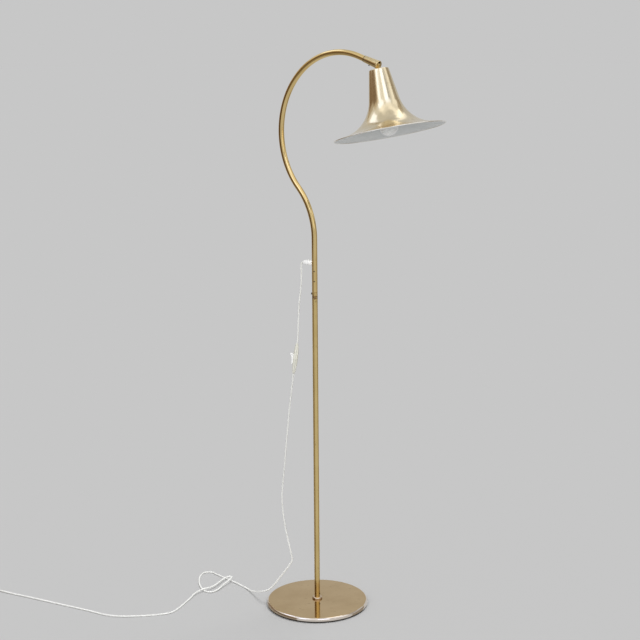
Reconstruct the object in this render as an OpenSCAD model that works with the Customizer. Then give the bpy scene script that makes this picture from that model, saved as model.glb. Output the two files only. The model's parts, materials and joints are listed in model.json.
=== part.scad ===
// Brass floor lamp with a swan neck on a round weighted base.
// The neck slides up out of the pole and turns on it, and the bell shade tilts at a knuckle.
// Millimetres, +Z up, origin on the floor under the pole, shade reaching out along +X.

/* [Base] */
// Diameter of the base
base_d = 260; // [220:1:320]
// Height of the base's top face above the floor
base_h = 12; // [11:0.5:20]
// Radius of the rounded upper edge of the base cover
base_edge_r = 7; // [3:0.5:8]
// Sheet thickness of the base cover
cover_wall = 1.2; // [0.8:0.1:2]
// Height of the cover's lower edge above the floor
cover_lift = 0.8; // [0.5:0.1:1.2]
// Thickness of the felt under the base
felt_t = 1.5; // [1:0.1:2.5]
// Distance of the felt's edge from the cover's inside
felt_inset = 4; // [2:1:15]
// Diameter of the bolt that holds the pole to the base
bolt_d = 8; // [6:0.5:8]
// Height of the bolt's hexagon head
bolt_head_h = 4; // [3:0.5:5]
// Thickness of the washer under the bolt's head
washer_t = 1.2; // [0.8:0.1:1.6]
// Diameter of the collar round the pole's foot
collar_d = 26; // [22:0.5:34]
// Height of the collar
collar_h = 5.5; // [4:0.5:9]

/* [Pole] */
// Outer diameter of the pole and of the swan neck
tube_d = 14; // [13:0.5:18]
// Wall of the pole and of the swan neck
tube_wall = 1; // [0.8:0.1:1.3]
// Length of the pole above the base
pole_len = 794; // [600:1:900]
// Height of the ring that shows at the pole's top
guide_ring_h = 10; // [8:0.5:14]
// Length of the guide bush inside the pole
guide_spigot = 30; // [20:1:50]
// Wall of the bushes that the rod runs in
guide_wall = 1; // [0.8:0.1:1.3]
// Length of the plug in the pole's foot
foot_plug_len = 30; // [24:1:50]
// Diameter of the small screws
screw_d = 3; // [2.5:0.1:3.5]
// Height of the foot screw above the base's top face
foot_screw_h = 14; // [10:0.5:20]
// Direction of the foot screw round the pole
foot_screw_turn = 12; // [0:1:90]
// Diameter of the lock screw's head
lock_head_d = 5; // [4:0.5:6]
// Length of the lock screw's head
lock_head_len = 4; // [3:0.5:8]

/* [Sliding rod] */
// Travel of the neck out of the pole
lift_travel = 200; // [100:5:260]
// Wall of the rod
rod_wall = 2; // [1.8:0.1:3]
// Depth of the grooves that the neck's screws ride in
groove_depth = 0.9; // [0.6:0.1:1.2]
// Height of the stop ring on the rod's lower end
stop_h = 12; // [8:1:20]

/* [Swan neck] */
// Straight length of the neck below its bends
neck_straight = 130.6; // [112:0.1:160]
// Radius of the lower bend
lower_bend_r = 175.6; // [150:0.1:220]
// Angle of the lower bend
lower_bend = 45; // [35:0.1:55]
// Radius of the upper bend
upper_bend_r = 190.9; // [160:0.1:230]
// Droop of the neck's end below the level
droop = 18.6; // [10:0.1:35]
// Straight length of the neck between its bends and the knuckle's sleeve
neck_tail = 18; // [10:0.5:30]
// Length of the bush inside the neck's lower end
neck_bush_len = 62; // [58:1:67]
// Height of the first neck screw above the neck's lower end
neck_screw_h = 27; // [15:1:28]
// Distance between the two neck screws
neck_screw_step = 25; // [12:1:26]
// Direction of the neck screws round the neck
neck_screw_turn = -58; // [-90:1:0]
// Height of the cord's exit above the neck's lower end
exit_h = 71; // [71:1:95]

/* [Cord grip] */
// Diameter of the grip's body
grip_d = 11; // [9:0.5:14]
// Length of the grip's body
grip_len = 17; // [14:0.5:24]
// Length of the grip's tapered nose
grip_nose = 10.7; // [8:0.1:16]
// Diameter of the nose at its tip
grip_tip_d = 9.6; // [6:0.1:10.2]
// Diameter of the grip's clamping screw
grip_screw_d = 4; // [3:0.5:5]

/* [Knuckle] */
// Length of the sleeve on the neck's end
sleeve_len = 45; // [42:1:60]
// Wall of the sleeve round the tube, at the sleeve's start
sleeve_wall = 0.9; // [0.8:0.1:2]
// Diameter of the flared sleeve at its end
sleeve_end_d = 20.2; // [18.5:0.1:22]
// Bevel round the sleeve's end
sleeve_bevel = 1.2; // [0.5:0.1:1.6]
// Length of tube inside the sleeve
tube_in_sleeve = 20; // [16:0.5:22]
// Length of the sleeve's slot
slot_len = 16; // [15:0.5:18]
// Width of the sleeve's slot
slot_w = 5; // [4:0.1:6]
// Distance of the tilt pin from the sleeve's end
pin_from_end = 3.2; // [3:0.1:6]
// Diameter of the tilt pin
pin_d = 4; // [3:0.1:4.5]
// Distance of the set screw from the sleeve's start
set_screw_at = 17; // [8:0.5:18]
// Tilt of the shade out from straight down
head_tilt = 13.1; // [0:0.1:30]

/* [Shade] */
// Diameter of the shade's rim
shade_d = 263; // [230:1:290]
// Diameter of the shade's flat top
shade_top_d = 46.5; // [44:0.5:52]
// Height of the shade
shade_h = 146.5; // [140:0.5:165]
// Sheet thickness of the shade
shade_wall = 1; // [0.8:0.1:1.6]
// Angle between the shade's upper side and its axis
shade_cone = 9.9; // [8:0.1:13]
// Angle between the brim and the shade's axis
shade_brim = 77.8; // [70:0.1:80]
// Radius of the flare between the upper side and the brim
flare_r = 87; // [55:1:95]
// Radius of the rounded edge of the flat top
shade_edge_r = 2; // [2:0.5:4]

/* [Lamp holder and bulb] */
// Diameter of the threaded stem
stem_d = 9.8; // [8:0.1:10.5]
// Distance from the stem's nut to the lamp holder
holder_drop = 43; // [1:1:45]
// Diameter of the lamp holder
holder_d = 40; // [38:0.5:41]
// Wall of the lamp holder
holder_wall = 2; // [1.5:0.1:2.4]
// Height of the holder's domed cap
holder_cap_h = 16; // [14:0.5:20]
// Height of the holder's skirt
holder_skirt_h = 35; // [32:0.5:38]
// Diameter of the bulb's threaded cap
bulb_cap_d = 26.5; // [26:0.1:27]
// Height of the bulb's threaded cap
bulb_cap_h = 25; // [22:0.5:27]
// Diameter of the bulb
bulb_d = 45; // [40:1:50]
// Length of the bulb from its contact to its tip
bulb_len = 78; // [74:1:82]
// Thickness of the bulb's glass
glass_wall = 1; // [0.7:0.1:1.5]

/* [Cord] */
// Diameter of the cord
cord_d = 4; // [3.5:0.1:4.4]
// Number of turns of the coil
coil_turns = 4.5; // [4.5:1:6.5]
// Mean radius of the coil's turns
coil_mid_r = 22; // [21:0.5:24]
// Distance between turns of the coil, sideways and upwards
coil_pitch = 4.6; // [4.6:0.1:5.2]
// Thickness of the coil's tie
tie_t = 0.8; // [0.6:0.1:1.2]
// Width of the coil's tie
tie_w = 6; // [4:0.5:8]

/* [Switch] */
// Length of the in-line switch
switch_len = 76; // [70:1:90]
// Width of the switch
switch_w = 26; // [22:0.5:32]
// Thickness of the switch
switch_t = 12; // [11:0.5:16]
// Wall of the switch's two halves
switch_wall = 1.5; // [1.2:0.1:1.8]
// Length of the rocker
rocker_len = 26; // [22:0.5:28]
// Width of the rocker
rocker_w = 11; // [8:0.5:12]
// Height of the rocker's ends over its pin
rocker_h = 8.5; // [7.5:0.1:10]
// Angle by which the rocker rests tipped
rocker_tip = 9; // [6:0.5:10]

/* [Plug] */
// Length of the plug's body
plug_len = 36; // [32:0.5:42]
// Width of the plug's body
plug_w = 35; // [30:0.5:37]
// Length of the plug's tapered strain relief
relief_len = 22; // [20:0.5:30]
// Diameter of the plug's pins
plug_pin_d = 4; // [3.5:0.1:4.8]
// Length of the plug's pins
plug_pin_len = 19; // [17:0.5:20]
// Distance between the plug's pins
plug_pin_step = 18.6; // [17.5:0.1:19]

/* [Clearances] */
// Radial clearance of fixed fits
fit_gap = 0.05; // [0.03:0.01:0.08]
// Radial clearance of running fits
run_gap = 0.05; // [0.03:0.01:0.09]
// Clearance between pieces that move past each other
move_gap = 0.3; // [0.25:0.05:0.45]
// Clearance of bolts, washers and loose holes
hole_gap = 0.2; // [0.1:0.05:0.3]

/* [Hidden] */
$fn = 64;

// Extra length of a cutting body beyond the face that it cuts
cut_over = 1;
satin_brass = [0.66, 0.55, 0.34];
bright_brass = [0.78, 0.70, 0.55];
dark_steel = [0.22, 0.21, 0.20];
bare_steel = [0.70, 0.70, 0.71];
white_plastic = [0.93, 0.93, 0.91];
ivory_plastic = [0.86, 0.86, 0.80];
opal_white = [0.97, 0.97, 0.95];
pale_ceramic = [0.9, 0.88, 0.84];
black_felt = [0.12, 0.14, 0.12];

// Base stack, from the floor up
base_r = base_d / 2;
weight_r = base_r - cover_wall - move_gap;
weight_top = base_h - cover_wall;
bolt_head_w = bolt_d * 1.625;
bolt_washer_d = bolt_d * 2;
recess_clear = 0.8;
recess_h = recess_clear + bolt_head_h + washer_t;
recess_top = felt_t + recess_h;
plug_roof = 10;
bolt_len_in_plug = foot_plug_len - plug_roof;
collar_edge_r = collar_h * 0.6;

// Pole and rod
tube_r = tube_d / 2;
bore_r = tube_r - tube_wall;
pole_top = base_h + pole_len;
ring_top = pole_top + guide_ring_h;
spigot_r = bore_r - fit_gap;
guide_bore_r = spigot_r - guide_wall;
rod_r = guide_bore_r - run_gap;
rod_bore_r = rod_r - rod_wall;
stop_top = pole_top - guide_spigot - lift_travel - move_gap;
rod_tail = 4;
rod_bottom = stop_top - stop_h - rod_tail;
screw_hole_r = screw_d / 2 + run_gap;
lock_h = pole_top + guide_ring_h / 2;
screw_proud = 1;

// Swan neck, in the plane through the pole along +X
neck_low = ring_top + move_gap;
bend_start = neck_low + neck_straight;
lower_centre = [-lower_bend_r, bend_start];
bend_sum = lower_bend_r + upper_bend_r;
upper_centre = lower_centre + bend_sum * [cos(lower_bend), sin(lower_bend)];
upper_sweep = 90 + lower_bend + droop;
neck_end = upper_centre + upper_bend_r * [sin(droop), cos(droop)];
bend_step = 0.02;
bend_lap = 0.6;
bend_lap_turn = bend_lap / upper_bend_r * 180 / PI;
neck_screw_heights = [neck_low + neck_screw_h, neck_low + neck_screw_h + neck_screw_step];
rod_top_gap = 2;
rod_top = neck_low + neck_bush_len - rod_top_gap;
exit_z = neck_low + exit_h;

// Cord grip, lying along -X from the neck
grip_spigot_d = 7;
grip_start = tube_r + move_gap;
grip_body_end = grip_start + grip_len;
grip_tip = grip_body_end + grip_nose;
grip_inner_gap = 1.5;
grip_inner = bore_r - grip_inner_gap;
grip_screw_proud = 2;
flex_r = cord_d / 2;

// Knuckle: the flared sleeve runs from the neck's tail, the tilt pin crosses it near its own end
sleeve_r = tube_r + fit_gap + sleeve_wall;
sleeve_end_r = sleeve_end_d / 2;
pin_at = sleeve_len - pin_from_end;
slot_start = sleeve_len - slot_len;
slot_roof = 1.2;
slot_top = sleeve_r_at(slot_start) - slot_roof;
cheek_low = norm_side(sleeve_end_r, slot_w / 2);
sleeve_dir = [cos(droop), -sin(droop)];
pivot = neck_end + (neck_tail + pin_at) * sleeve_dir;
shoulder_t = 1.2;
shoulder_w = 13;
swing_gap = 0.4;
head_drop = norm([pin_from_end - sleeve_bevel, cheek_low]) + swing_gap;
tongue_t = slot_w - 2 * move_gap;
tongue_r = 4.8;
tongue_w = 8;
stem_lap = 1;

// Radius of the flared sleeve at a distance from its start
function sleeve_r_at(z) = sleeve_r + (sleeve_end_r - sleeve_r) * z / sleeve_len;

// The other side of a right triangle, from its longest side and one side
function norm_side(longest, side) = sqrt(longest * longest - side * side);

// Shade profile: distances along the axis from the flat top, radii from the axis
shade_r = shade_d / 2;
shade_top_r = shade_top_d / 2;
flare_rise = flare_r * (sin(shade_brim) - sin(shade_cone));
flare_spread = flare_r * (cos(shade_cone) - cos(shade_brim));
cone_len = (shade_h - flare_rise - (shade_r - shade_top_r - flare_spread) / tan(shade_brim))
    / (1 - tan(shade_cone) / tan(shade_brim));
cone_end_r = shade_top_r + cone_len * tan(shade_cone);
flare_steps = 10;
edge_steps = 4;

// Lamp holder and bulb, distances along the shade's axis from the tilt pin
shade_at = head_drop;
shade_inside = shade_at + shade_wall;
stem_washer_t = 1;
stem_washer_d = 26;
stem_nut_t = 4;
stem_nut_w = 14;
nut_end = shade_inside + stem_washer_t + stem_nut_t;
cap_start = nut_end + holder_drop;
skirt_start = cap_start + holder_cap_h;
skirt_end = skirt_start + holder_skirt_h;
holder_r = holder_d / 2;
holder_cap_r = holder_r - 6;
stem_end = cap_start + holder_cap_h / 2;
insert_gap = 1;
insert_start = skirt_start + insert_gap;
insert_h = 9;
insert_end = insert_start + insert_h;
contact_t = 1.5;
contact_w = 8;
contact_len = 13;
contact_tail = 9;
bulb_start = insert_end + contact_t;
button_h = 3;
button_tip_d = 9;
button_d = 14;
thread_wall = 0.6;
thread_r = bulb_cap_d / 2 + run_gap + thread_wall;
bulb_cap_end = bulb_start + bulb_cap_h;
bulb_tip = bulb_start + bulb_len;
bulb_r = bulb_d / 2;
bulb_mid = bulb_tip - bulb_r;
bulb_shoulder = 2;
bulb_neck_h = 8;
bulb_neck_r = bulb_cap_d / 2 + bulb_shoulder;
bulb_neck_end = bulb_cap_end + bulb_neck_h;

// Switch, hanging in the cord with its rocker facing away from the pole
switch_at = [-47, -23, 645];
switch_facing = 225;
switch_lean = 7.5;
switch_end_w = 10;
switch_end_t = 7;
switch_taper = 16;
switch_end_wall = 20;
switch_side_wall = 2;
switch_flat = switch_len - 2 * switch_taper;
switch_cavity_len = switch_len - 2 * switch_end_wall;
switch_cavity_w = switch_w - 2 * switch_side_wall;
switch_half_t = switch_t / 2;
rocker_pin_d = 2.4;
rocker_pin_depth = 3;
rocker_pin_x = switch_half_t - rocker_pin_depth;
rocker_dip = 2;
rocker_keel = 2;
rocker_keel_half = 5;
window_slack = 2;
window_len = rocker_len + window_slack;
window_w = rocker_w + 2 * move_gap;
lug_t = 2;
lug_len = 5;
switch_screw_inset = 11;
switch_screw_at = switch_len / 2 - switch_screw_inset;
switch_screw_d = 2.6;
switch_head_d = 4.8;
switch_head_h = 1.3;
strip_t = 1;
strip_w = 5;
strip_gap = 2;
switch_up = [
    -sin(switch_lean) * cos(switch_facing),
    -sin(switch_lean) * sin(switch_facing),
    cos(switch_lean)
];
switch_top = switch_at + switch_len / 2 * switch_up;
switch_bottom = switch_at - switch_len / 2 * switch_up;

// Coil of the put-away cord, flat on the floor
coil_centre = [-740, -533];
coil_start_turn = 90;
coil_rings = 24;
coil_sides = 6;
coil_half = coil_turns / 2;
coil_out_r = coil_mid_r + coil_pitch * coil_half / 2;
tie_gap = 0.6;
coil_low = tie_t + move_gap + cord_d / 2;
plug_axis = coil_low + coil_pitch;

// Plug's outline, seen from above
relief_lip = 2;
relief_wide_d = 10;
plug_rear_half = 8;
plug_shoulder = 14;
plug_nose_len = 8;
plug_nose_inset = 4;

function clamped(x) = max(0, min(1, x));
function eased(x) = x * x * (3 - 2 * x);
function coil_radius(u) = coil_out_r - coil_pitch * (u < coil_half ? u : coil_turns - u);
function coil_height(u) = coil_low + coil_pitch * eased(clamped((u - coil_half) * 2 + 0.5));
function coil_point(u) = let (turn = coil_start_turn + 360 * u) [
    coil_centre[0] + coil_radius(u) * cos(turn),
    coil_centre[1] + coil_radius(u) * sin(turn),
    coil_height(u)
];
function unit(v) = v / norm(v);
coil_in_dir = unit(coil_point(0.001) - coil_point(0));
coil_out_dir = unit(coil_point(coil_turns) - coil_point(coil_turns - 0.001));
coil_in = coil_point(0) - cord_d * coil_in_dir;
coil_out = coil_point(coil_turns) + cord_d * coil_out_dir;
coil_path = concat(
    [coil_in],
    [for (i = [0 : coil_rings * coil_turns]) coil_point(i / coil_rings)],
    [coil_out]
);
coil_last = len(coil_path) - 1;
coil_gap = min([
    for (i = [0 : coil_last], j = [i + coil_rings / 2 : 1 : coil_last]) norm(coil_path[i] - coil_path[j])
]) - cord_d;
echo(coil_least_gap_to_itself = coil_gap);

// Straight leads of the cord where it leaves the grip, the switch and the coil
grip_lead = 2;
top_lead = 8;
bottom_lead = 10;
coil_lead = 12;

// Cord from the grip down to the switch
upper_route = concat(
    [[-grip_tip - move_gap, 0, exit_z], [-grip_tip - grip_lead, 0, exit_z]],
    [
        [-41, 0, 886], [-44, 0, 883], [-45, 0, 878], [-44.2, -1, 855], [-44.4, -4, 818], [-46, -8, 783],
        [-45.2, -12, 749], [-43.6, -15, 720], [-42.8, -17.2, 704]
    ],
    [switch_top + top_lead * switch_up, switch_top]
);

// Cord from the switch to the floor, through its loose loop and out to the coil
lower_route = concat(
    [switch_bottom, switch_bottom - bottom_lead * switch_up],
    [
        [-57, -37, 510], [-66, -47, 370], [-71, -53, 275], [-66, -48, 205], [-55, -39, 132], [-53, -37, 112],
        [-58, -43, 100], [-83, -67, 54], [-95, -77, 36], [-115, -81, 25], [-170, -68, 6], [-200, -58, 2.6],
        [-245, -50, 2.1], [-330, -42, 2.1], [-354, -40, 2], [-367, -55, 2], [-353, -85, 2], [-310, -125, 2.1],
        [-270, -143, 2], [-253, -137, 2.3], [-251, -117, 3.2], [-259, -85, 7], [-268, -50, 10],
        [-276, -39, 9.6], [-285, -41, 8.2], [-289, -51, 6.8], [-283, -72, 6.5], [-272, -115, 6],
        [-277, -145, 6.5], [-276, -172, 5], [-262, -208, 2.6], [-235, -288, 2], [-239, -308, 2],
        [-275, -358, 2], [-330, -406, 2], [-420, -430, 2], [-560, -466, 2.1], [-691, -500, 2.6]
    ],
    [coil_in - coil_lead * coil_in_dir, coil_in]
);
cord_sides = 8;
ring_step = 25;
cord_hint = [0.5, -0.5, 0.7];

// A smooth curve through four points, met between the middle two
function knot(a, b) = sqrt(norm(b - a));
function between(a, b, c, d, share) = let (
    k1 = knot(a, b),
    k2 = k1 + knot(b, c),
    k3 = k2 + knot(c, d),
    k = k1 + share * (k2 - k1),
    ab = (a * (k1 - k) + b * k) / k1,
    bc = (b * (k2 - k) + c * (k - k1)) / (k2 - k1),
    cd = (c * (k3 - k) + d * (k - k2)) / (k3 - k2),
    abc = (ab * (k2 - k) + bc * k) / k2,
    bcd = (bc * (k3 - k) + cd * (k - k1)) / (k3 - k1)
) (abc * (k2 - k) + bcd * (k - k1)) / (k2 - k1);
function before(route, i) = i > 0 ? route[i - 1] : 2 * route[0] - route[1];
function after(route, i) = i < len(route) - 1 ? route[i + 1] : 2 * route[i] - route[i - 1];

// The route's points, with one more in the middle of each long stretch
function rings_of(route) = [
    for (i = [0 : len(route) - 1]) each concat(
        [route[i]],
        i < len(route) - 1 && norm(route[i + 1] - route[i]) > ring_step
            ? [between(before(route, i), route[i], route[i + 1], after(route, i + 1), 0.5)]
            : []
    )
];
function heading(path, i) = unit(after(path, i) - before(path, i));

// A closed tube along a path
module tube_along(path, diameter, sides, hint) {
    last = len(path) - 1;
    ring_points = [
        for (i = [0 : last])
            let (
                ahead = heading(path, i),
                side = unit(cross(ahead, hint)),
                up = cross(side, ahead)
            )
            for (k = [0 : sides - 1])
                path[i] + diameter / 2 * (cos(360 * k / sides) * side + sin(360 * k / sides) * up)
    ];
    wall_faces = [
        for (i = [0 : last - 1], k = [0 : sides - 1])
            let (
                a = i * sides + k,
                b = i * sides + (k + 1) % sides,
                c = b + sides,
                d = a + sides
            )
            each [[a, c, b], [a, d, c]]
    ];
    start_faces = [for (k = [1 : sides - 2]) [0, k, k + 1]];
    end_faces = [for (k = [1 : sides - 2]) [last * sides, last * sides + k + 1, last * sides + k]];
    polyhedron(points = ring_points, faces = concat(wall_faces, start_faces, end_faces));
}

// A disc standing on z = 0 with a rounded upper edge
module rounded_disc(radius, height, edge) {
    rotate_extrude() intersection() {
        square([radius, height]);
        union() {
            square([radius - edge, height]);
            square([radius, height - edge]);
            translate([radius - edge, height - edge]) circle(edge);
        }
    }
}

// A small screw lying along +X
module screw_along_x(from_r, to_r, diameter) {
    translate([from_r, 0, 0]) rotate([0, 90, 0]) cylinder(h = to_r - from_r, d = diameter);
}

module base_cover() {
    color(bright_brass) difference() {
        translate([0, 0, cover_lift]) rounded_disc(base_r, base_h - cover_lift, base_edge_r);
        translate([0, 0, -cut_over])
            rounded_disc(base_r - cover_wall, base_h - cover_wall + cut_over, base_edge_r - cover_wall);
        cylinder(h = base_h + cut_over, d = bolt_d + 2 * hole_gap);
    }
}

module base_weight() {
    color(dark_steel) difference() {
        translate([0, 0, felt_t]) rounded_disc(weight_r, weight_top - felt_t, base_edge_r);
        translate([0, 0, felt_t - cut_over])
            cylinder(h = recess_h + cut_over, d = bolt_washer_d + 2 * cut_over);
        cylinder(h = base_h, d = bolt_d + 2 * hole_gap);
    }
}

module base_felt() {
    color(black_felt) cylinder(h = felt_t, r = base_r - cover_wall - felt_inset);
}

module base_bolt() {
    head_top = recess_top - washer_t;
    color(bare_steel) {
        translate([0, 0, head_top - bolt_head_h])
            cylinder(h = bolt_head_h, d = bolt_head_w / cos(30), $fn = 6);
        translate([0, 0, head_top - cut_over])
            cylinder(h = base_h + bolt_len_in_plug - head_top + cut_over, d = bolt_d);
    }
}

module base_washer() {
    color(bare_steel) translate([0, 0, recess_top - washer_t]) difference() {
        cylinder(h = washer_t, d = bolt_washer_d);
        translate([0, 0, -cut_over]) cylinder(h = washer_t + 2 * cut_over, d = bolt_d + 2 * hole_gap);
    }
}

module foot_plug() {
    color(satin_brass) translate([0, 0, base_h]) difference() {
        cylinder(h = foot_plug_len, r = bore_r - fit_gap);
        translate([0, 0, -cut_over])
            cylinder(h = bolt_len_in_plug + 2 * cut_over, d = bolt_d + 2 * fit_gap);
        translate([0, 0, foot_screw_h]) rotate(foot_screw_turn)
            screw_along_x(bolt_d / 2 + fit_gap, tube_r, screw_d + 2 * fit_gap);
    }
}

module foot_collar() {
    color(bright_brass) translate([0, 0, base_h]) difference() {
        rounded_disc(collar_d / 2, collar_h, collar_edge_r);
        translate([0, 0, -cut_over]) cylinder(h = collar_h + 2 * cut_over, r = tube_r + fit_gap);
    }
}

module foot_screw() {
    color(dark_steel) translate([0, 0, base_h + foot_screw_h]) rotate(foot_screw_turn)
        screw_along_x(bolt_d / 2 + hole_gap, tube_r + screw_proud, screw_d);
}

module pole() {
    color(satin_brass) difference() {
        translate([0, 0, base_h]) cylinder(h = pole_len, r = tube_r);
        translate([0, 0, base_h - cut_over]) cylinder(h = pole_len + 2 * cut_over, r = bore_r);
        translate([0, 0, base_h + foot_screw_h]) rotate(foot_screw_turn)
            screw_along_x(bore_r - cut_over, tube_r + cut_over, screw_d + 2 * fit_gap);
    }
}

module guide_bush() {
    color(bright_brass) difference() {
        union() {
            translate([0, 0, pole_top]) cylinder(h = guide_ring_h, r = tube_r);
            translate([0, 0, pole_top - guide_spigot]) cylinder(h = guide_spigot + cut_over, r = spigot_r);
        }
        translate([0, 0, pole_top - guide_spigot - cut_over])
            cylinder(h = guide_spigot + guide_ring_h + 2 * cut_over, r = guide_bore_r);
        translate([0, 0, lock_h]) rotate(180)
            screw_along_x(rod_r - cut_over, tube_r + cut_over, 2 * screw_hole_r);
    }
}

module lock_screw() {
    color(dark_steel) translate([0, 0, lock_h]) rotate(180) {
        screw_along_x(rod_r + move_gap, tube_r + move_gap + cut_over, screw_d);
        screw_along_x(tube_r + move_gap, tube_r + move_gap + lock_head_len, lock_head_d);
    }
}

module slide_rod() {
    groove_h = screw_d + 2 * move_gap;
    color(bright_brass) difference() {
        translate([0, 0, rod_bottom]) cylinder(h = rod_top - rod_bottom, r = rod_r);
        translate([0, 0, rod_bottom - cut_over])
            cylinder(h = rod_top - rod_bottom + 2 * cut_over, r = rod_bore_r);
        for (height = neck_screw_heights) translate([0, 0, height - groove_h / 2]) difference() {
            cylinder(h = groove_h, r = rod_r + cut_over);
            cylinder(h = groove_h, r = rod_r - groove_depth);
        }
    }
}

module rod_stop() {
    color(dark_steel) translate([0, 0, stop_top - stop_h]) difference() {
        cylinder(h = stop_h, r = bore_r - move_gap);
        translate([0, 0, -cut_over]) cylinder(h = stop_h + 2 * cut_over, r = rod_r + fit_gap);
    }
}

// A round bar along the neck's bends, with a straight length beyond their end.
// Each stretch reaches a little way into the one before it and is a hair thinner.
module bent_bar(radius, tail) {
    translate([lower_centre[0], 0, lower_centre[1]]) rotate([90, 0, 0])
        rotate_extrude(angle = lower_bend) translate([lower_bend_r, 0]) circle(radius);
    translate([upper_centre[0], 0, upper_centre[1]]) rotate([90, 0, 0]) rotate(90 - droop)
        rotate_extrude(angle = upper_sweep + bend_lap_turn)
            translate([upper_bend_r, 0]) circle(radius - bend_step);
    at_neck_end() translate([0, 0, -bend_lap]) cylinder(h = tail + bend_lap, r = radius - 2 * bend_step);
}

// Places a piece with its z axis along the neck's tail and its x axis downwards
module at_neck_end() {
    translate([neck_end[0], 0, neck_end[1]]) rotate([0, 90 + droop, 0]) children();
}

// The same, from the start of the knuckle's sleeve
module at_sleeve() {
    at_neck_end() translate([0, 0, neck_tail]) children();
}

module swan_neck() {
    color(satin_brass) difference() {
        union() {
            translate([0, 0, neck_low]) cylinder(h = neck_straight, r = tube_r);
            bent_bar(tube_r, neck_tail + tube_in_sleeve);
        }
        translate([0, 0, neck_low - cut_over]) cylinder(h = neck_straight + cut_over, r = bore_r);
        bent_bar(bore_r, neck_tail + tube_in_sleeve + cut_over);
        translate([0, 0, exit_z]) rotate(180)
            screw_along_x(0, tube_r + cut_over, grip_spigot_d + 2 * hole_gap);
        for (height = neck_screw_heights) translate([0, 0, height]) rotate(neck_screw_turn)
            screw_along_x(rod_r, tube_r + cut_over, 2 * screw_hole_r);
    }
}

module neck_bush() {
    color(bright_brass) difference() {
        translate([0, 0, neck_low]) cylinder(h = neck_bush_len, r = spigot_r);
        translate([0, 0, neck_low - cut_over]) cylinder(h = neck_bush_len + 2 * cut_over, r = guide_bore_r);
        for (height = neck_screw_heights) translate([0, 0, height]) rotate(neck_screw_turn)
            screw_along_x(rod_r - cut_over, tube_r, 2 * screw_hole_r);
    }
}

module neck_screws() {
    color(dark_steel) for (height = neck_screw_heights) translate([0, 0, height]) rotate(neck_screw_turn)
        screw_along_x(rod_r - groove_depth + move_gap, tube_r + screw_proud, screw_d);
}

// Places a piece with its z axis along the grip, away from the neck
module at_grip() {
    translate([0, 0, exit_z]) rotate([0, -90, 0]) children();
}

module cord_grip() {
    color(white_plastic) at_grip() difference() {
        union() {
            translate([0, 0, grip_inner]) cylinder(h = grip_start - grip_inner + cut_over, d = grip_spigot_d);
            translate([0, 0, grip_start]) cylinder(h = grip_len, d = grip_d);
            translate([0, 0, grip_body_end]) cylinder(h = grip_nose, d1 = grip_d, d2 = grip_tip_d);
        }
        translate([cord_d / 2, 0, grip_body_end - grip_screw_d])
            rotate([0, 90, 0]) cylinder(h = grip_d, d = grip_screw_d + 2 * fit_gap);
    }
}

module grip_screw() {
    color(white_plastic) at_grip() translate([cord_d / 2, 0, grip_body_end - grip_screw_d])
        rotate([0, 90, 0]) cylinder(h = grip_d / 2 - cord_d / 2 + grip_screw_proud, d = grip_screw_d);
}

module neck_flex() {
    bend_r = grip_inner;
    color(white_plastic) {
        translate([-grip_inner, 0, exit_z + bend_r]) rotate([90, 0, 0]) rotate(-90)
            rotate_extrude(angle = 90) translate([bend_r, 0]) circle(flex_r);
        translate([0, 0, exit_z + bend_r]) cylinder(h = bend_start - exit_z - bend_r, r = flex_r);
        bent_bar(flex_r, neck_tail + slot_start);
    }
}

module knuckle_sleeve() {
    color(satin_brass) at_sleeve() difference() {
        rotate_extrude() polygon([
            [0, 0], [sleeve_r, 0], [sleeve_r_at(sleeve_len - sleeve_bevel), sleeve_len - sleeve_bevel],
            [sleeve_end_r - sleeve_bevel, sleeve_len], [0, sleeve_len]
        ]);
        translate([0, 0, -cut_over]) cylinder(h = tube_in_sleeve + cut_over, r = tube_r + fit_gap);
        cylinder(h = sleeve_len - slot_len + cut_over, r = flex_r + hole_gap);
        translate([-slot_top, -slot_w / 2, slot_start])
            cube([slot_top + sleeve_end_r + cut_over, slot_w, slot_len + cut_over]);
        translate([0, 0, pin_at]) rotate([90, 0, 0])
            cylinder(h = sleeve_end_d + 2 * cut_over, d = pin_d + 2 * fit_gap, center = true);
        translate([0, 0, set_screw_at])
            screw_along_x(bore_r, sleeve_end_r + cut_over, screw_d + 2 * fit_gap);
    }
}

module sleeve_screw() {
    color(dark_steel) at_sleeve() translate([0, 0, set_screw_at])
        screw_along_x(tube_r + fit_gap, sleeve_r_at(set_screw_at) + 2 * screw_proud, screw_d);
}

module knuckle_pin() {
    half_len = norm_side(sleeve_r_at(pin_at - pin_d / 2), pin_d / 2) - fit_gap;
    color(bright_brass) at_sleeve() translate([0, 0, pin_at]) rotate([90, 0, 0])
        cylinder(h = 2 * half_len, d = pin_d, center = true);
}

// Places a piece with its z axis along the shade, from the tilt pin towards the opening
module at_head() {
    translate([pivot[0], 0, pivot[1]]) rotate([0, 180 - head_tilt, 0]) children();
}

module knuckle_tongue() {
    color(bright_brass) at_head() difference() {
        union() {
            rotate([90, 0, 0]) cylinder(h = tongue_t, r = tongue_r, center = true);
            translate([-tongue_w / 2, -tongue_t / 2, 0]) cube([tongue_w, tongue_t, shade_at]);
            translate([-shoulder_w / 2, -tongue_t / 2, shade_at - shoulder_t])
                cube([shoulder_w, tongue_t, shoulder_t]);
            translate([-tongue_t / 2, -tongue_t / 2, 0]) cube([tongue_t, tongue_t, shade_at + stem_lap]);
            translate([0, 0, shade_at]) cylinder(h = stem_end - shade_at, d = stem_d);
        }
        rotate([90, 0, 0]) cylinder(h = slot_w, d = pin_d + 2 * run_gap, center = true);
        translate([0, 0, shade_at + stem_lap]) cylinder(h = stem_end, d = cord_d);
    }
}

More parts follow.
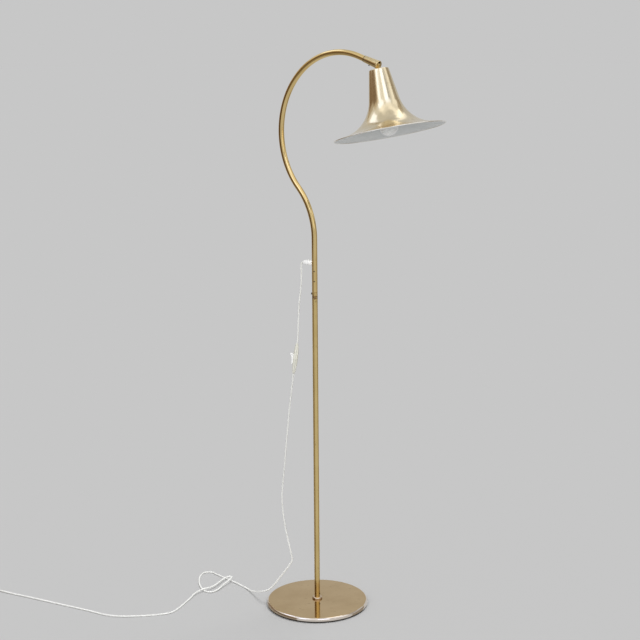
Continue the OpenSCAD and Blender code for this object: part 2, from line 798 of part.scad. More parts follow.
// Side of the shade from the flat top's edge to the rim, moved inwards by a wall
function shade_side(wall) = concat(
    [
        for (i = [0 : edge_steps])
            let (turn = i * (90 - shade_cone) / edge_steps, edge = shade_edge_r - wall)
            [shade_top_r - shade_edge_r + edge * sin(turn), shade_edge_r - edge * cos(turn)]
    ],
    [
        for (i = [0 : flare_steps])
            let (turn = shade_cone + i * (shade_brim - shade_cone) / flare_steps)
            [
                cone_end_r + flare_r * cos(shade_cone) - (flare_r + wall) * cos(turn),
                cone_len + (flare_r + wall) * sin(turn) - flare_r * sin(shade_cone)
            ]
    ],
    [[shade_r - wall * cos(shade_brim), shade_h + wall * sin(shade_brim)]]
);
shade_outline = concat(
    [[stem_d / 2 + hole_gap, 0]],
    shade_side(0),
    [for (i = [len(shade_side(0)) - 1 : -1 : 0]) shade_side(shade_wall)[i]],
    [[stem_d / 2 + hole_gap, shade_wall]]
);

module shade() {
    color(bright_brass) at_head() translate([0, 0, shade_at]) rotate_extrude() polygon(shade_outline);
}

module stem_washer() {
    color(bare_steel) at_head() translate([0, 0, shade_inside]) difference() {
        cylinder(h = stem_washer_t, d = stem_washer_d);
        translate([0, 0, -cut_over]) cylinder(h = stem_washer_t + 2 * cut_over, d = stem_d + 2 * hole_gap);
    }
}

module stem_nut() {
    color(bright_brass) at_head() translate([0, 0, shade_inside + stem_washer_t]) difference() {
        cylinder(h = stem_nut_t, d = stem_nut_w / cos(30), $fn = 6);
        translate([0, 0, -cut_over]) cylinder(h = stem_nut_t + 2 * cut_over, d = stem_d + 2 * fit_gap);
    }
}

module holder_cap() {
    color(white_plastic) at_head() translate([0, 0, cap_start]) difference() {
        cylinder(h = holder_cap_h, r1 = holder_cap_r, r2 = holder_r);
        translate([0, 0, holder_cap_h / 2])
            cylinder(h = holder_cap_h / 2 + cut_over, r = holder_cap_r - holder_wall);
        translate([0, 0, -cut_over]) cylinder(h = holder_cap_h, d = stem_d + 2 * fit_gap);
    }
}

module holder_skirt() {
    color(white_plastic) at_head() translate([0, 0, skirt_start]) difference() {
        cylinder(h = holder_skirt_h, r = holder_r);
        translate([0, 0, -cut_over])
            cylinder(h = holder_skirt_h + 2 * cut_over, r = holder_r - holder_wall);
    }
}

module holder_insert() {
    color(pale_ceramic) at_head() translate([0, 0, insert_start])
        cylinder(h = insert_h, r = holder_r - holder_wall - fit_gap);
}

module holder_contact() {
    color(bright_brass) at_head() translate([-contact_w / 2, -contact_tail, insert_end])
        cube([contact_w, contact_len, contact_t]);
}

module holder_thread() {
    color(bare_steel) at_head() translate([0, 0, insert_end]) difference() {
        cylinder(h = skirt_end - insert_end - insert_gap, r = thread_r);
        translate([0, 0, -cut_over]) cylinder(h = holder_skirt_h, r = thread_r - thread_wall);
    }
}

module bulb_cap() {
    color(bare_steel) at_head() {
        translate([0, 0, bulb_start]) cylinder(h = button_h + cut_over, d1 = button_tip_d, d2 = button_d);
        translate([0, 0, bulb_start + button_h]) cylinder(h = bulb_cap_h - button_h, d = bulb_cap_d);
    }
}

// The bulb's outline, moved inwards by a wall: a neck, a cone that touches the ball, and the ball
module bulb_shape(wall) {
    ball_r = bulb_r - wall;
    neck_r = bulb_neck_r - wall;
    reach = bulb_mid - bulb_neck_end;
    lean = asin((ball_r - neck_r) / reach);
    touch_r = ball_r * cos(lean);
    touch_z = bulb_mid - ball_r * sin(lean);
    translate([0, 0, bulb_cap_end + wall]) cylinder(h = bulb_neck_end - bulb_cap_end - wall, r = neck_r);
    translate([0, 0, bulb_neck_end]) cylinder(h = touch_z - bulb_neck_end, r1 = neck_r, r2 = touch_r);
    translate([0, 0, bulb_mid]) sphere(ball_r);
}

module bulb_glass() {
    color(opal_white) at_head() difference() {
        bulb_shape(0);
        bulb_shape(glass_wall);
    }
}

module cord_upper() {
    color(white_plastic) tube_along(rings_of(upper_route), cord_d, cord_sides, cord_hint);
}

// Places a piece with its z axis up along the cord and its x axis out of the rocker's face
module at_switch() {
    translate(switch_at) rotate([0, 0, switch_facing]) rotate([0, -switch_lean, 0]) children();
}

// The switch's spindle, seen from the side and from the front
module switch_spindle() {
    intersection() {
        rotate([90, 0, 0]) linear_extrude(switch_w, center = true) polygon([
            for (side = [1, -1]) each [
                [side * switch_end_t / 2, -side * switch_len / 2],
                [side * switch_half_t, -side * switch_flat / 2],
                [side * switch_half_t, side * switch_flat / 2],
                [side * switch_end_t / 2, side * switch_len / 2]
            ]
        ]);
        rotate([90, 0, 90]) linear_extrude(switch_t, center = true) polygon([
            for (side = [1, -1]) each [
                [side * switch_end_w / 2, -side * switch_len / 2],
                [side * switch_w / 2, -side * switch_flat / 2],
                [side * switch_w / 2, side * switch_flat / 2],
                [side * switch_end_w / 2, side * switch_len / 2]
            ]
        ]);
    }
}

module switch_cavity() {
    cube([switch_t - 2 * switch_wall, switch_cavity_w, switch_cavity_len], center = true);
}

// The half of space on one side of the switch's joint
module switch_side(side) {
    translate([side * switch_t, 0, 0]) cube([2 * switch_t, 2 * switch_w, 2 * switch_len], center = true);
}

module at_switch_screws() {
    for (side = [1, -1]) translate([0, 0, side * switch_screw_at]) children();
}

module switch_back() {
    color(ivory_plastic) at_switch() difference() {
        intersection() {
            switch_spindle();
            switch_side(-1);
        }
        switch_cavity();
        at_switch_screws() screw_along_x(-switch_half_t, cut_over, switch_screw_d + 2 * fit_gap);
        at_switch_screws() screw_along_x(-switch_t, -switch_half_t / 2, switch_head_d + 2 * fit_gap);
    }
}

module switch_front() {
    color(ivory_plastic) at_switch() difference() {
        union() {
            difference() {
                intersection() {
                    switch_spindle();
                    switch_side(1);
                }
                switch_cavity();
                translate([0, -window_w / 2, -window_len / 2]) cube([switch_t, window_w, window_len]);
                at_switch_screws()
                    screw_along_x(-cut_over, switch_half_t / 2, switch_screw_d + 2 * fit_gap);
            }
            for (side = [1, -1]) translate([
                rocker_pin_x - rocker_pin_d,
                side * (window_w + lug_t) / 2 - lug_t / 2,
                -lug_len / 2
            ]) cube([switch_half_t - switch_wall / 2 - rocker_pin_x + rocker_pin_d, lug_t, lug_len]);
        }
        translate([rocker_pin_x, 0, 0]) rotate([90, 0, 0])
            cylinder(h = window_w + 4 * lug_t, d = rocker_pin_d + 2 * fit_gap, center = true);
    }
}

module switch_rocker() {
    rocker_half = rocker_len / 2;
    color(opal_white) at_switch() translate([rocker_pin_x, 0, 0]) rotate([0, rocker_tip, 0])
        difference() {
            rotate([90, 0, 0]) linear_extrude(rocker_w, center = true) polygon([
                [-rocker_keel, -rocker_keel_half], [rocker_keel, -rocker_half], [rocker_h, -rocker_half],
                [rocker_h - rocker_dip, 0],
                [rocker_h, rocker_half], [rocker_keel, rocker_half], [-rocker_keel, rocker_keel_half]
            ]);
            rotate([90, 0, 0]) cylinder(h = 2 * rocker_w, d = rocker_pin_d + 2 * run_gap, center = true);
        }
}

module rocker_pin() {
    color(bare_steel) at_switch() translate([rocker_pin_x, 0, 0]) rotate([90, 0, 0])
        cylinder(h = window_w + 2 * lug_t, d = rocker_pin_d, center = true);
}

module switch_contacts() {
    strip = [strip_t, strip_w, switch_cavity_len - 2 * strip_gap];
    color(bright_brass) at_switch() for (side = [1, -1])
        translate([switch_wall - switch_half_t, side * switch_cavity_w / 4 - strip[1] / 2, -strip[2] / 2])
            cube(strip);
}

module switch_screws() {
    seat = -switch_half_t / 2;
    color(bare_steel) at_switch() at_switch_screws() {
        screw_along_x(seat - switch_head_h, seat, switch_head_d);
        screw_along_x(seat - cut_over, switch_half_t / 2 - hole_gap, switch_screw_d);
    }
}

module cord_lower() {
    color(white_plastic) tube_along(rings_of(lower_route), cord_d, cord_sides, cord_hint);
}

module cord_coil() {
    color(white_plastic) tube_along(coil_path, cord_d, coil_sides, [0, 0, 1]);
}

module coil_tie() {
    turns_here = [
        for (u = [0.75 : 1 : coil_turns]) coil_radius(u)
    ];
    inner_r = min(turns_here) - cord_d / 2 - tie_gap;
    outer_r = max(turns_here) + cord_d / 2 + tie_gap;
    tie_top = plug_axis + cord_d / 2 + tie_gap;
    color(white_plastic) translate([coil_centre[0], coil_centre[1] - tie_w / 2, 0]) difference() {
        translate([inner_r - tie_t, 0, 0]) cube([outer_r - inner_r + 2 * tie_t, tie_w, tie_top + tie_t]);
        translate([inner_r, -cut_over, tie_t])
            cube([outer_r - inner_r, tie_w + 2 * cut_over, tie_top - tie_t]);
    }
}

// Places a piece with its x axis along the plug, from the coil's end
module at_plug() {
    translate(coil_out) rotate([0, 0, atan2(coil_out_dir[1], coil_out_dir[0])]) children();
}

module plug_relief() {
    color(white_plastic) at_plug() rotate([0, 90, 0])
        cylinder(h = relief_len, d1 = cord_d + relief_lip, d2 = relief_wide_d);
}

module plug_body() {
    front_half = plug_w / 2 - plug_nose_inset;
    flank_end = plug_len - plug_nose_len;
    color(white_plastic) at_plug() translate([relief_len, 0, -plug_axis])
        linear_extrude(2 * plug_axis) polygon([
            [0, -plug_rear_half], [plug_shoulder, -plug_w / 2], [flank_end, -plug_w / 2],
            [plug_len, -front_half], [plug_len, front_half],
            [flank_end, plug_w / 2], [plug_shoulder, plug_w / 2], [0, plug_rear_half]
        ]);
}

module plug_pins() {
    color(bare_steel) at_plug() for (side = [1, -1])
        translate([relief_len + plug_len, side * plug_pin_step / 2, 0]) rotate([0, 90, 0])
            cylinder(h = plug_pin_len, d = plug_pin_d);
}

base_cover();
base_weight();
base_felt();
base_bolt();
base_washer();
foot_plug();
foot_collar();
foot_screw();
pole();
guide_bush();
lock_screw();
slide_rod();
rod_stop();
swan_neck();
neck_bush();
neck_screws();
cord_grip();
grip_screw();
neck_flex();
knuckle_sleeve();
sleeve_screw();
knuckle_pin();
knuckle_tongue();
shade();
stem_washer();
stem_nut();
holder_cap();
holder_skirt();
holder_insert();
holder_contact();
holder_thread();
bulb_cap();
bulb_glass();
cord_upper();
switch_back();
switch_front();
switch_rocker();
rocker_pin();
switch_contacts();
switch_screws();
cord_lower();
cord_coil();
coil_tie();
plug_body();
plug_relief();
plug_pins();
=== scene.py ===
"""Looks of a brass floor lamp with a swan neck, a bell shade and a white cord. Metres, +Z up."""

import json
import math

import bmesh
import bpy
from mathutils import Matrix, Vector


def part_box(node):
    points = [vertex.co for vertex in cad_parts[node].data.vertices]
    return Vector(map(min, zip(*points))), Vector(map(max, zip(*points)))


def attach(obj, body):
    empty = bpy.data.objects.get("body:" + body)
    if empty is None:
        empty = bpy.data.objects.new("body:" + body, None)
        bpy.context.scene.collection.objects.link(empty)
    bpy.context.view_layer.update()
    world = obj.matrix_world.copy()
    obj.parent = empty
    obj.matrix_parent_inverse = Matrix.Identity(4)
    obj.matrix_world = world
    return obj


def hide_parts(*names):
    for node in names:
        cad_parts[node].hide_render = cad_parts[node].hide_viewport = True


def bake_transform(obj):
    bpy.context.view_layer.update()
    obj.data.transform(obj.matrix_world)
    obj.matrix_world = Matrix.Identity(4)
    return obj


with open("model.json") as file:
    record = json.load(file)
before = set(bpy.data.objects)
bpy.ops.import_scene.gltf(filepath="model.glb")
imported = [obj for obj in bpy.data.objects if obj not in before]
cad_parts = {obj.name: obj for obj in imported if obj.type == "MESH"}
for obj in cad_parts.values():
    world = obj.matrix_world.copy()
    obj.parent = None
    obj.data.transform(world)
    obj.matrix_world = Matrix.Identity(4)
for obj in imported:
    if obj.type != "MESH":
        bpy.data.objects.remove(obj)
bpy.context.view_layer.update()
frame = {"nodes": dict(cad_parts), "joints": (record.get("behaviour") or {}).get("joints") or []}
nodes = frame["nodes"]
joints = {joint["name"]: joint for joint in frame["joints"]}
scene = bpy.context.scene

# Camera, as the photograph's one stood
CAMERA_AWAY = 3.2717
CAMERA_HEIGHT = 1.3926
CAMERA_ASIDE = 0.0122
CAMERA_TURN = math.radians(42.06)
CAMERA_PITCH = math.radians(11.19)
CAMERA_ROLL = math.radians(-0.42)
FOCAL_PIXELS = 1343.6
IMAGE_PIXELS = 640

# Base
BASE_R = 0.130
BASE_EDGE_R = 0.007
COVER_WALL = 0.0012
COVER_LIFT = 0.0008
FELT_T = 0.0015
FELT_R = 0.1248
FELT_EDGE = ((0.0002, 0), (0, 0.0004), (0.0001, 0.0011), (0.0006, FELT_T))
COLLAR_R = 0.013
COLLAR_H = 0.0055
COLLAR_EDGE_R = 0.0033
COLLAR_EASE = 0.0004
COLLAR_BORE_EASE = 0.0006

# Tubes
TUBE_R = 0.007
BASE_TOP = 0.012
POLE_TOP = 0.806
RING_H = 0.010
RING_GROOVES = (0.18, 0.82)
ROD_R = 0.0049
NECK_LOW = 0.8163
NECK_STRAIGHT = 0.1306
LOWER_BEND_R = 0.1756
LOWER_BEND = math.radians(45)
UPPER_BEND_R = 0.1909
DROOP = math.radians(18.6)
NECK_TAIL = 0.018
TUBE_IN_SLEEVE = 0.020
FLEX_IN_SLEEVE = 0.029

# Small screws
SCREW_R = 0.0015
SCREW_PROUD = 0.001
SCREW_SHANK = 0.0025
FOOT_SCREW_Z = 0.026
FOOT_SCREW_TURN = math.radians(12)
NECK_SCREW_HEIGHTS = (0.8433, 0.8683)
NECK_SCREW_TURN = math.radians(-58)
LOCK_HEAD_R = 0.0025
LOCK_HEAD_H = 0.004
LOCK_SHANK = 0.002
LOCK_GAP = 0.0003
SLEEVE_SHANK = 0.001

# Knuckle
SLEEVE_R = 0.00795
SLEEVE_END_R = 0.0101
SLEEVE_SCREW_AT = 0.017
SLEEVE_LEN = 0.045
SLEEVE_EDGE = 0.0006
SLOT_W = 0.005
SLOT_TOP = 0.00813
FLEX_HOLE_R = 0.0024
TILT_PIN_R = 0.002
TILT_PIN_DOME = 0.0006
TONGUE_EYE_R = 0.0048
TONGUE_HALF_W = 0.004
TONGUE_HALF_T = 0.0024
SHOULDER_HALF_W = 0.0065
SHOULDER_T = 0.0012
STEM_R = 0.0049
STEM_LEN = 0.057
TONGUE_ROUNDING = 0.0004

# Shade, along its axis from the tilt pin
SHADE_TILT = math.radians(13.1)
SHADE_AT = 0.010388
SHADE_R = 0.1315
SHADE_TOP_R = 0.02325
SHADE_H = 0.1465
SHADE_WALL = 0.001
SHADE_CONE = math.radians(9.9)
SHADE_BRIM = math.radians(77.8)
FLARE_R = 0.087
SHADE_EDGE_R = 0.002
STEM_HOLE_R = 0.0051
LIP_R = 0.0011
LIP_BACK = math.radians(150)
LIP_SWEEP = math.radians(243)

# Cord
CORD_D = 0.004
GRIP_TIP = 0.035
GRIP_R = 0.0055
GRIP_SCREW_AT = 0.0203
GRIP_SCREW_R = 0.002
GRIP_SCREW_SHANK = 0.0032
GRIP_SCREW_HEAD = 0.0022
GRIP_SCREW_SINK = 0.0003
GRIP_GAP = 0.0002
GRIP_ROOT_R = 0.0035
GRIP_ROOT_LEN = 0.0025
GRIP_EASE = 0.0004
GRIP_WAIST_R = 0.005
GRIP_GROOVES = (0.0030, 0.0046)
GRIP_GROOVE = ((GRIP_R, 0), (GRIP_WAIST_R, 0.0003), (GRIP_WAIST_R, 0.0008), (GRIP_R, 0.0011))
GRIP_TAPER = 0.007
GRIP_NOSE_R = 0.0016
EXIT_Z = 0.8873

# Switch, hanging in the cord
SWITCH_AT = Vector((-0.047, -0.023, 0.645))
SWITCH_FACING = math.radians(225)
SWITCH_LEAN = math.radians(7.5)
SWITCH_LEN = 0.076
SWITCH_HALF_W = 0.013
SWITCH_HALF_T = 0.006
SWITCH_END_HALF_W = 0.0042
SWITCH_END_HALF_T = 0.0030
SWITCH_SEAM = 0.00015
SWITCH_SCREW_AT = 0.027
SWITCH_SCREW_R = 0.0024
SWITCH_SCREW_HEAD = 0.0013
SWITCH_SHANK_R = 0.0012
SWITCH_SHANK = 0.004
SWITCH_SEAT = 0.003
SWITCH_WELL_R = 0.0025
ROCKER_PIN_OUT = 0.003
ROCKER_TIP = math.radians(9)
ROCKER_HALF_LEN = 0.013
ROCKER_HALF_W = 0.0055
ROCKER_MIDDLE = 0.0065
ROCKER_END_RISE = 0.002
ROCKER_UPPER_LIFT = 1.6
ROCKER_SKIRT = 0.002
ROCKER_FOOT_HALF = 0.005
ROCKER_ROUNDING = 0.0009
ROCKER_STEPS = 16
WINDOW_HALF_LEN = 0.014
WINDOW_HALF_W = 0.0058
WINDOW_CORNER_R = 0.001

# Coil of the put-away cord
COIL_CENTRE = (-0.740, -0.533)
COIL_TURNS = 4.5
COIL_MID_R = 0.022
COIL_PITCH = 0.0046
COIL_LOW = 0.0031
COIL_START = math.radians(90)
COIL_RINGS = 24
TIE_T = 0.0008
TIE_CORNER_R = 0.0025

# Plug, along its own axis from the coil's end
RELIEF_LEN = 0.022
RELIEF_R = (0.003, 0.005)
RELIEF_RIBS = 6
RIB_PROFILE = ((0.08, 1.0), (0.55, 1.0), (0.66, 0.84), (0.96, 0.84))
PLUG_HALF_H = 0.0077
PLUG_OUTLINE = ((0, 0.008), (0.014, 0.0175), (0.028, 0.0175), (0.036, 0.0135))
PLUG_LEN = 0.036
PLUG_ROUNDING = 0.003
PLUG_PIN_R = 0.002
METAL_PIN_R = 0.00186
PLUG_PIN_LEN = 0.019
PLUG_PIN_SIDE = 0.0093
PIN_SLEEVE_LEN = 0.010
PIN_TIP_TURN = math.radians(85)


def add_camera():
    """The photograph's camera, with the neck's plane turned to it as in the picture."""
    lens = bpy.data.cameras.new("camera")
    lens.lens = FOCAL_PIXELS / IMAGE_PIXELS * lens.sensor_width
    camera = bpy.data.objects.new("camera", lens)
    scene.collection.objects.link(camera)
    turn = Matrix.Rotation(CAMERA_TURN, 4, "Z")
    place = Matrix.Translation((CAMERA_ASIDE, -CAMERA_AWAY, CAMERA_HEIGHT))
    level = Matrix.Rotation(math.pi / 2 - CAMERA_PITCH, 4, "X")
    camera.matrix_world = turn @ place @ level @ Matrix.Rotation(CAMERA_ROLL, 4, "Z")
    scene.camera = camera


add_camera()


# Mesh helpers
SHARP = math.radians(35)
HAIR = 0.0001
CORNER_STEPS = 6


def add_mesh(name, points, faces):
    """A new mesh object from points and faces."""
    mesh = bpy.data.meshes.new(name)
    mesh.from_pydata([tuple(p) for p in points], [], faces, shade_flat=False)
    piece = bpy.data.objects.new(name, mesh)
    scene.collection.objects.link(piece)
    return piece


def between(a, b, c, d, share):
    """A point of the smooth curve through four points, between the middle two."""
    k1 = math.sqrt((b - a).length)
    k2 = k1 + math.sqrt((c - b).length)
    k3 = k2 + math.sqrt((d - c).length)
    k = k1 + share * (k2 - k1)
    ab = (a * (k1 - k) + b * k) / k1
    bc = (b * (k2 - k) + c * (k - k1)) / (k2 - k1)
    cd = (c * (k3 - k) + d * (k - k2)) / (k3 - k2)
    abc = (ab * (k2 - k) + bc * k) / k2
    bcd = (bc * (k3 - k) + cd * (k - k1)) / (k3 - k1)
    return (abc * (k2 - k) + bcd * (k - k1)) / (k2 - k1)


def smooth_path(route, step):
    """Points about a step apart on the smooth curve through a route."""
    ends = [2 * route[0] - route[1], *route, 2 * route[-1] - route[-2]]
    path = []
    for a, b, c, d in zip(ends, ends[1:], ends[2:], ends[3:]):
        count = max(1, round((c - b).length / step))
        path.extend(between(a, b, c, d, i / count) for i in range(count))
    return [*path, route[-1]]


def ring_faces(rings, sides, closed=False):
    """Faces from each ring of points to the next, and from the last to the first if closed."""
    count = rings * sides
    faces = []
    for low in range(0, count if closed else count - sides, sides):
        high = (low + sides) % count
        for k in range(sides):
            after = (k + 1) % sides
            faces.append((low + k, low + after, high + after, high + k))
    return faces


def add_tube(name, path, radius, sides):
    """A closed round tube along a path, with UVs round it and along it in metres."""
    ahead = [(b - a).normalized() for a, b in zip([path[0], *path[:-1]], [*path[1:], path[-1]])]
    across = ahead[0].orthogonal().normalized()
    points = []
    along = []
    travelled = 0.0
    for i, centre in enumerate(path):
        if i:
            travelled += (centre - path[i - 1]).length
            across = ahead[i - 1].rotation_difference(ahead[i]) @ across
            across = (across - across.dot(ahead[i]) * ahead[i]).normalized()
        over = ahead[i].cross(across)
        along.append(travelled)
        for k in range(sides):
            turn = 2 * math.pi * k / sides
            points.append(centre + radius * (math.cos(turn) * across + math.sin(turn) * over))
    corners = []
    for low, high in zip(along, along[1:]):
        for k in range(sides):
            left = k / sides
            right = (k + 1) / sides
            corners += [(left, low), (right, low), (right, high), (left, high)]
    last = (len(path) - 1) * sides
    faces = ring_faces(len(path), sides)
    faces += [tuple(reversed(range(sides))), tuple(range(last, last + sides))]
    corners += [(0.0, 0.0)] * (2 * sides)
    piece = add_mesh(name, points, faces)
    layer = piece.data.uv_layers.new(name="UVMap")
    for loop, corner in zip(layer.data, corners):
        loop.uv = corner
    sharpen(piece)
    return piece


def arc(centre, radius, start, end, count):
    """Points (x, y) on an arc, from one angle to another."""
    turns = [start + (end - start) * i / count for i in range(count + 1)]
    return [(centre[0] + radius * math.cos(t), centre[1] + radius * math.sin(t)) for t in turns]


def line(a, b, count):
    """Points (x, y) on the way from one point to another, without the first."""
    shares = [i / count for i in range(1, count + 1)]
    return [(a[0] + (b[0] - a[0]) * share, a[1] + (b[1] - a[1]) * share) for share in shares]


def dress(piece, material):
    """Gives a whole piece one material."""
    piece.data.materials.clear()
    piece.data.materials.append(material)
    return piece


# Shapes, each as points and faces
def joined(*shapes):
    """Several shapes as one."""
    points = []
    faces = []
    for more_points, more_faces in shapes:
        first = len(points)
        points += more_points
        faces += [tuple(first + i for i in face) for face in more_faces]
    return points, faces


def moved(shape, place):
    """A shape in another place."""
    points, faces = shape
    return [tuple(place @ Vector(p)) for p in points], faces


def lathe_shape(outline, segments, closed=False):
    """An outline of (radius, height) turned about the z axis."""
    points = []
    for radius, height in outline:
        for k in range(segments):
            turn = 2 * math.pi * k / segments
            points.append((radius * math.cos(turn), radius * math.sin(turn), height))
    faces = ring_faces(len(outline), segments, closed)
    if not closed:
        faces.append(tuple(reversed(range(segments))))
        faces.append(tuple(range(len(points) - segments, len(points))))
    return points, faces


def slab_shape(outline, low, high):
    """A flat outline of (x, y) raised from one height to another."""
    count = len(outline)
    points = [(x, y, z) for z in (low, high) for x, y in outline]
    ends = [tuple(reversed(range(count))), tuple(range(count, 2 * count))]
    return points, [*ends, *ring_faces(2, count)]


def band_shape(outer, inner, low, high):
    """A closed band between two outlines of (x, y), from one height to another."""
    points = []
    for (x, y), (p, q) in zip(outer, inner):
        points += [(x, y, low), (x, y, high), (p, q, high), (p, q, low)]
    return points, ring_faces(len(outer), 4, closed=True)


# Shares of every screw's sizes
TIP_SHARE = 0.6
TAPER_SHARE = 0.85
SLOT_FLOOR_SHARE = 0.4
SLOT_HALF_SHARE = 0.2


def screw_shape(shank_r, shank_len, head_r, head_h):
    """A screw along z: its shank below z = 0 and a slotted head above."""
    floor = head_h * SLOT_FLOOR_SHARE
    shank = [(shank_r * TIP_SHARE, -shank_len), (shank_r, -shank_len * TAPER_SHARE), (shank_r, 0)]
    body = lathe_shape([*shank, (head_r, 0), (head_r, floor)], segments=32)
    start = math.asin(SLOT_HALF_SHARE)
    half = arc((0, 0), head_r, start, math.pi - start, 14)
    cheeks = [slab_shape([(side * x, side * y) for x, y in half], floor, head_h) for side in (1, -1)]
    return joined(body, *cheeks)


def rounded_rectangle(low, high, radius):
    """A rectangle's outline of (x, y) with round corners."""
    left, bottom = (value + radius for value in low)
    right, top = (value - radius for value in high)
    outline = []
    for quarter, centre in enumerate(((right, top), (left, top), (left, bottom), (right, bottom))):
        start = quarter * math.pi / 2
        outline += arc(centre, radius, start, start + math.pi / 2, CORNER_STEPS)
    return outline


# Pieces, and the turns that they are placed with
UPRIGHT = Matrix.Identity(4)
SIDE_ON = Matrix.Rotation(math.pi / 2, 4, "X")
END_ON = Matrix(((0, 0, 1, 0), (1, 0, 0, 0), (0, 1, 0, 0), (0, 0, 0, 1)))
QUARTER_TURN = Matrix.Rotation(math.pi / 2, 4, "Y")


def facing(at, direction):
    """Places a piece with its z axis along a direction."""
    return Matrix.Translation(at) @ Vector(direction).to_track_quat("Z", "Y").to_matrix().to_4x4()


def sharpen(piece):
    """Shades a piece smooth, apart from its sharp edges."""
    piece.data.shade_smooth()
    piece.data.set_sharp_from_angle(angle=SHARP)


def fit(piece, slot, body, *stands_for):
    """Has a piece ride on a body in place of CAD nodes."""
    if stands_for:
        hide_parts(*stands_for)
    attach(piece, body)


def add_piece(name, shape, place, finish, slot, body, *stands_for):
    """A rigid piece with its faces turned outwards, riding on a body in place of CAD nodes."""
    piece = dress(add_mesh(name, *shape), finish)
    shell = bmesh.new()
    shell.from_mesh(piece.data)
    bmesh.ops.recalc_face_normals(shell, faces=shell.faces)
    shell.to_mesh(piece.data)
    shell.free()
    sharpen(piece)
    piece.matrix_world = place
    fit(piece, slot, body, *stands_for)
    return piece


def bake(piece):
    """Makes a piece's modifiers part of its mesh."""
    shown = piece.evaluated_get(bpy.context.evaluated_depsgraph_get())
    mesh = bpy.data.meshes.new_from_object(shown)
    piece.modifiers.clear()
    piece.data = mesh
    sharpen(piece)


def soften(piece, width, segments=4):
    """Rounds a piece's edges."""
    bevel = piece.modifiers.new("rounding", "BEVEL")
    bevel.width = width
    bevel.segments = segments
    bevel.angle_limit = SHARP
    bake(piece)


def cut(piece, shape, place):
    """Takes a shape out of a piece."""
    cutter = add_mesh("cutter", *shape)
    cutter.matrix_world = place
    hole = piece.modifiers.new("hole", "BOOLEAN")
    hole.operation = "DIFFERENCE"
    hole.object = cutter
    bake(piece)
    bpy.data.objects.remove(cutter)


# Materials: levels of a noise between which its colours and its gloss drift
TINT_SPREAD = (0.35, 0.65)
GLOSS_SPREAD = (0.3, 0.7)

# Wear, dirt and painted light: their colours, their heights on the base, and how much painted shade greys
# the cord
WORN_BROWN = (0.30, 0.17, 0.08)
PALE_WEAR_AND_HIGHLIGHT = (0.88, 0.80, 0.72)
GRIME_AND_SHADE_BROWN = (0.10, 0.06, 0.03)
FOOT_SHADE_BLACK = (0.03, 0.025, 0.02)
WEAR_AND_HIGHLIGHT_HEIGHTS = (0.0119, 0.0110)
FOOT_SHADE_HEIGHTS = (0.0046, 0.0030)
UPPER_SHADE_SHARE = 0.88

# Depths of fine surface marks
DRAW_LINE_DEPTH = 0.000002
SPUN_RING_DEPTH = 0.000008
SKIN_DEPTH = 0.00002
METAL_GRAIN_DEPTH = 0.00003
FELT_FUZZ_DEPTH = 0.0004


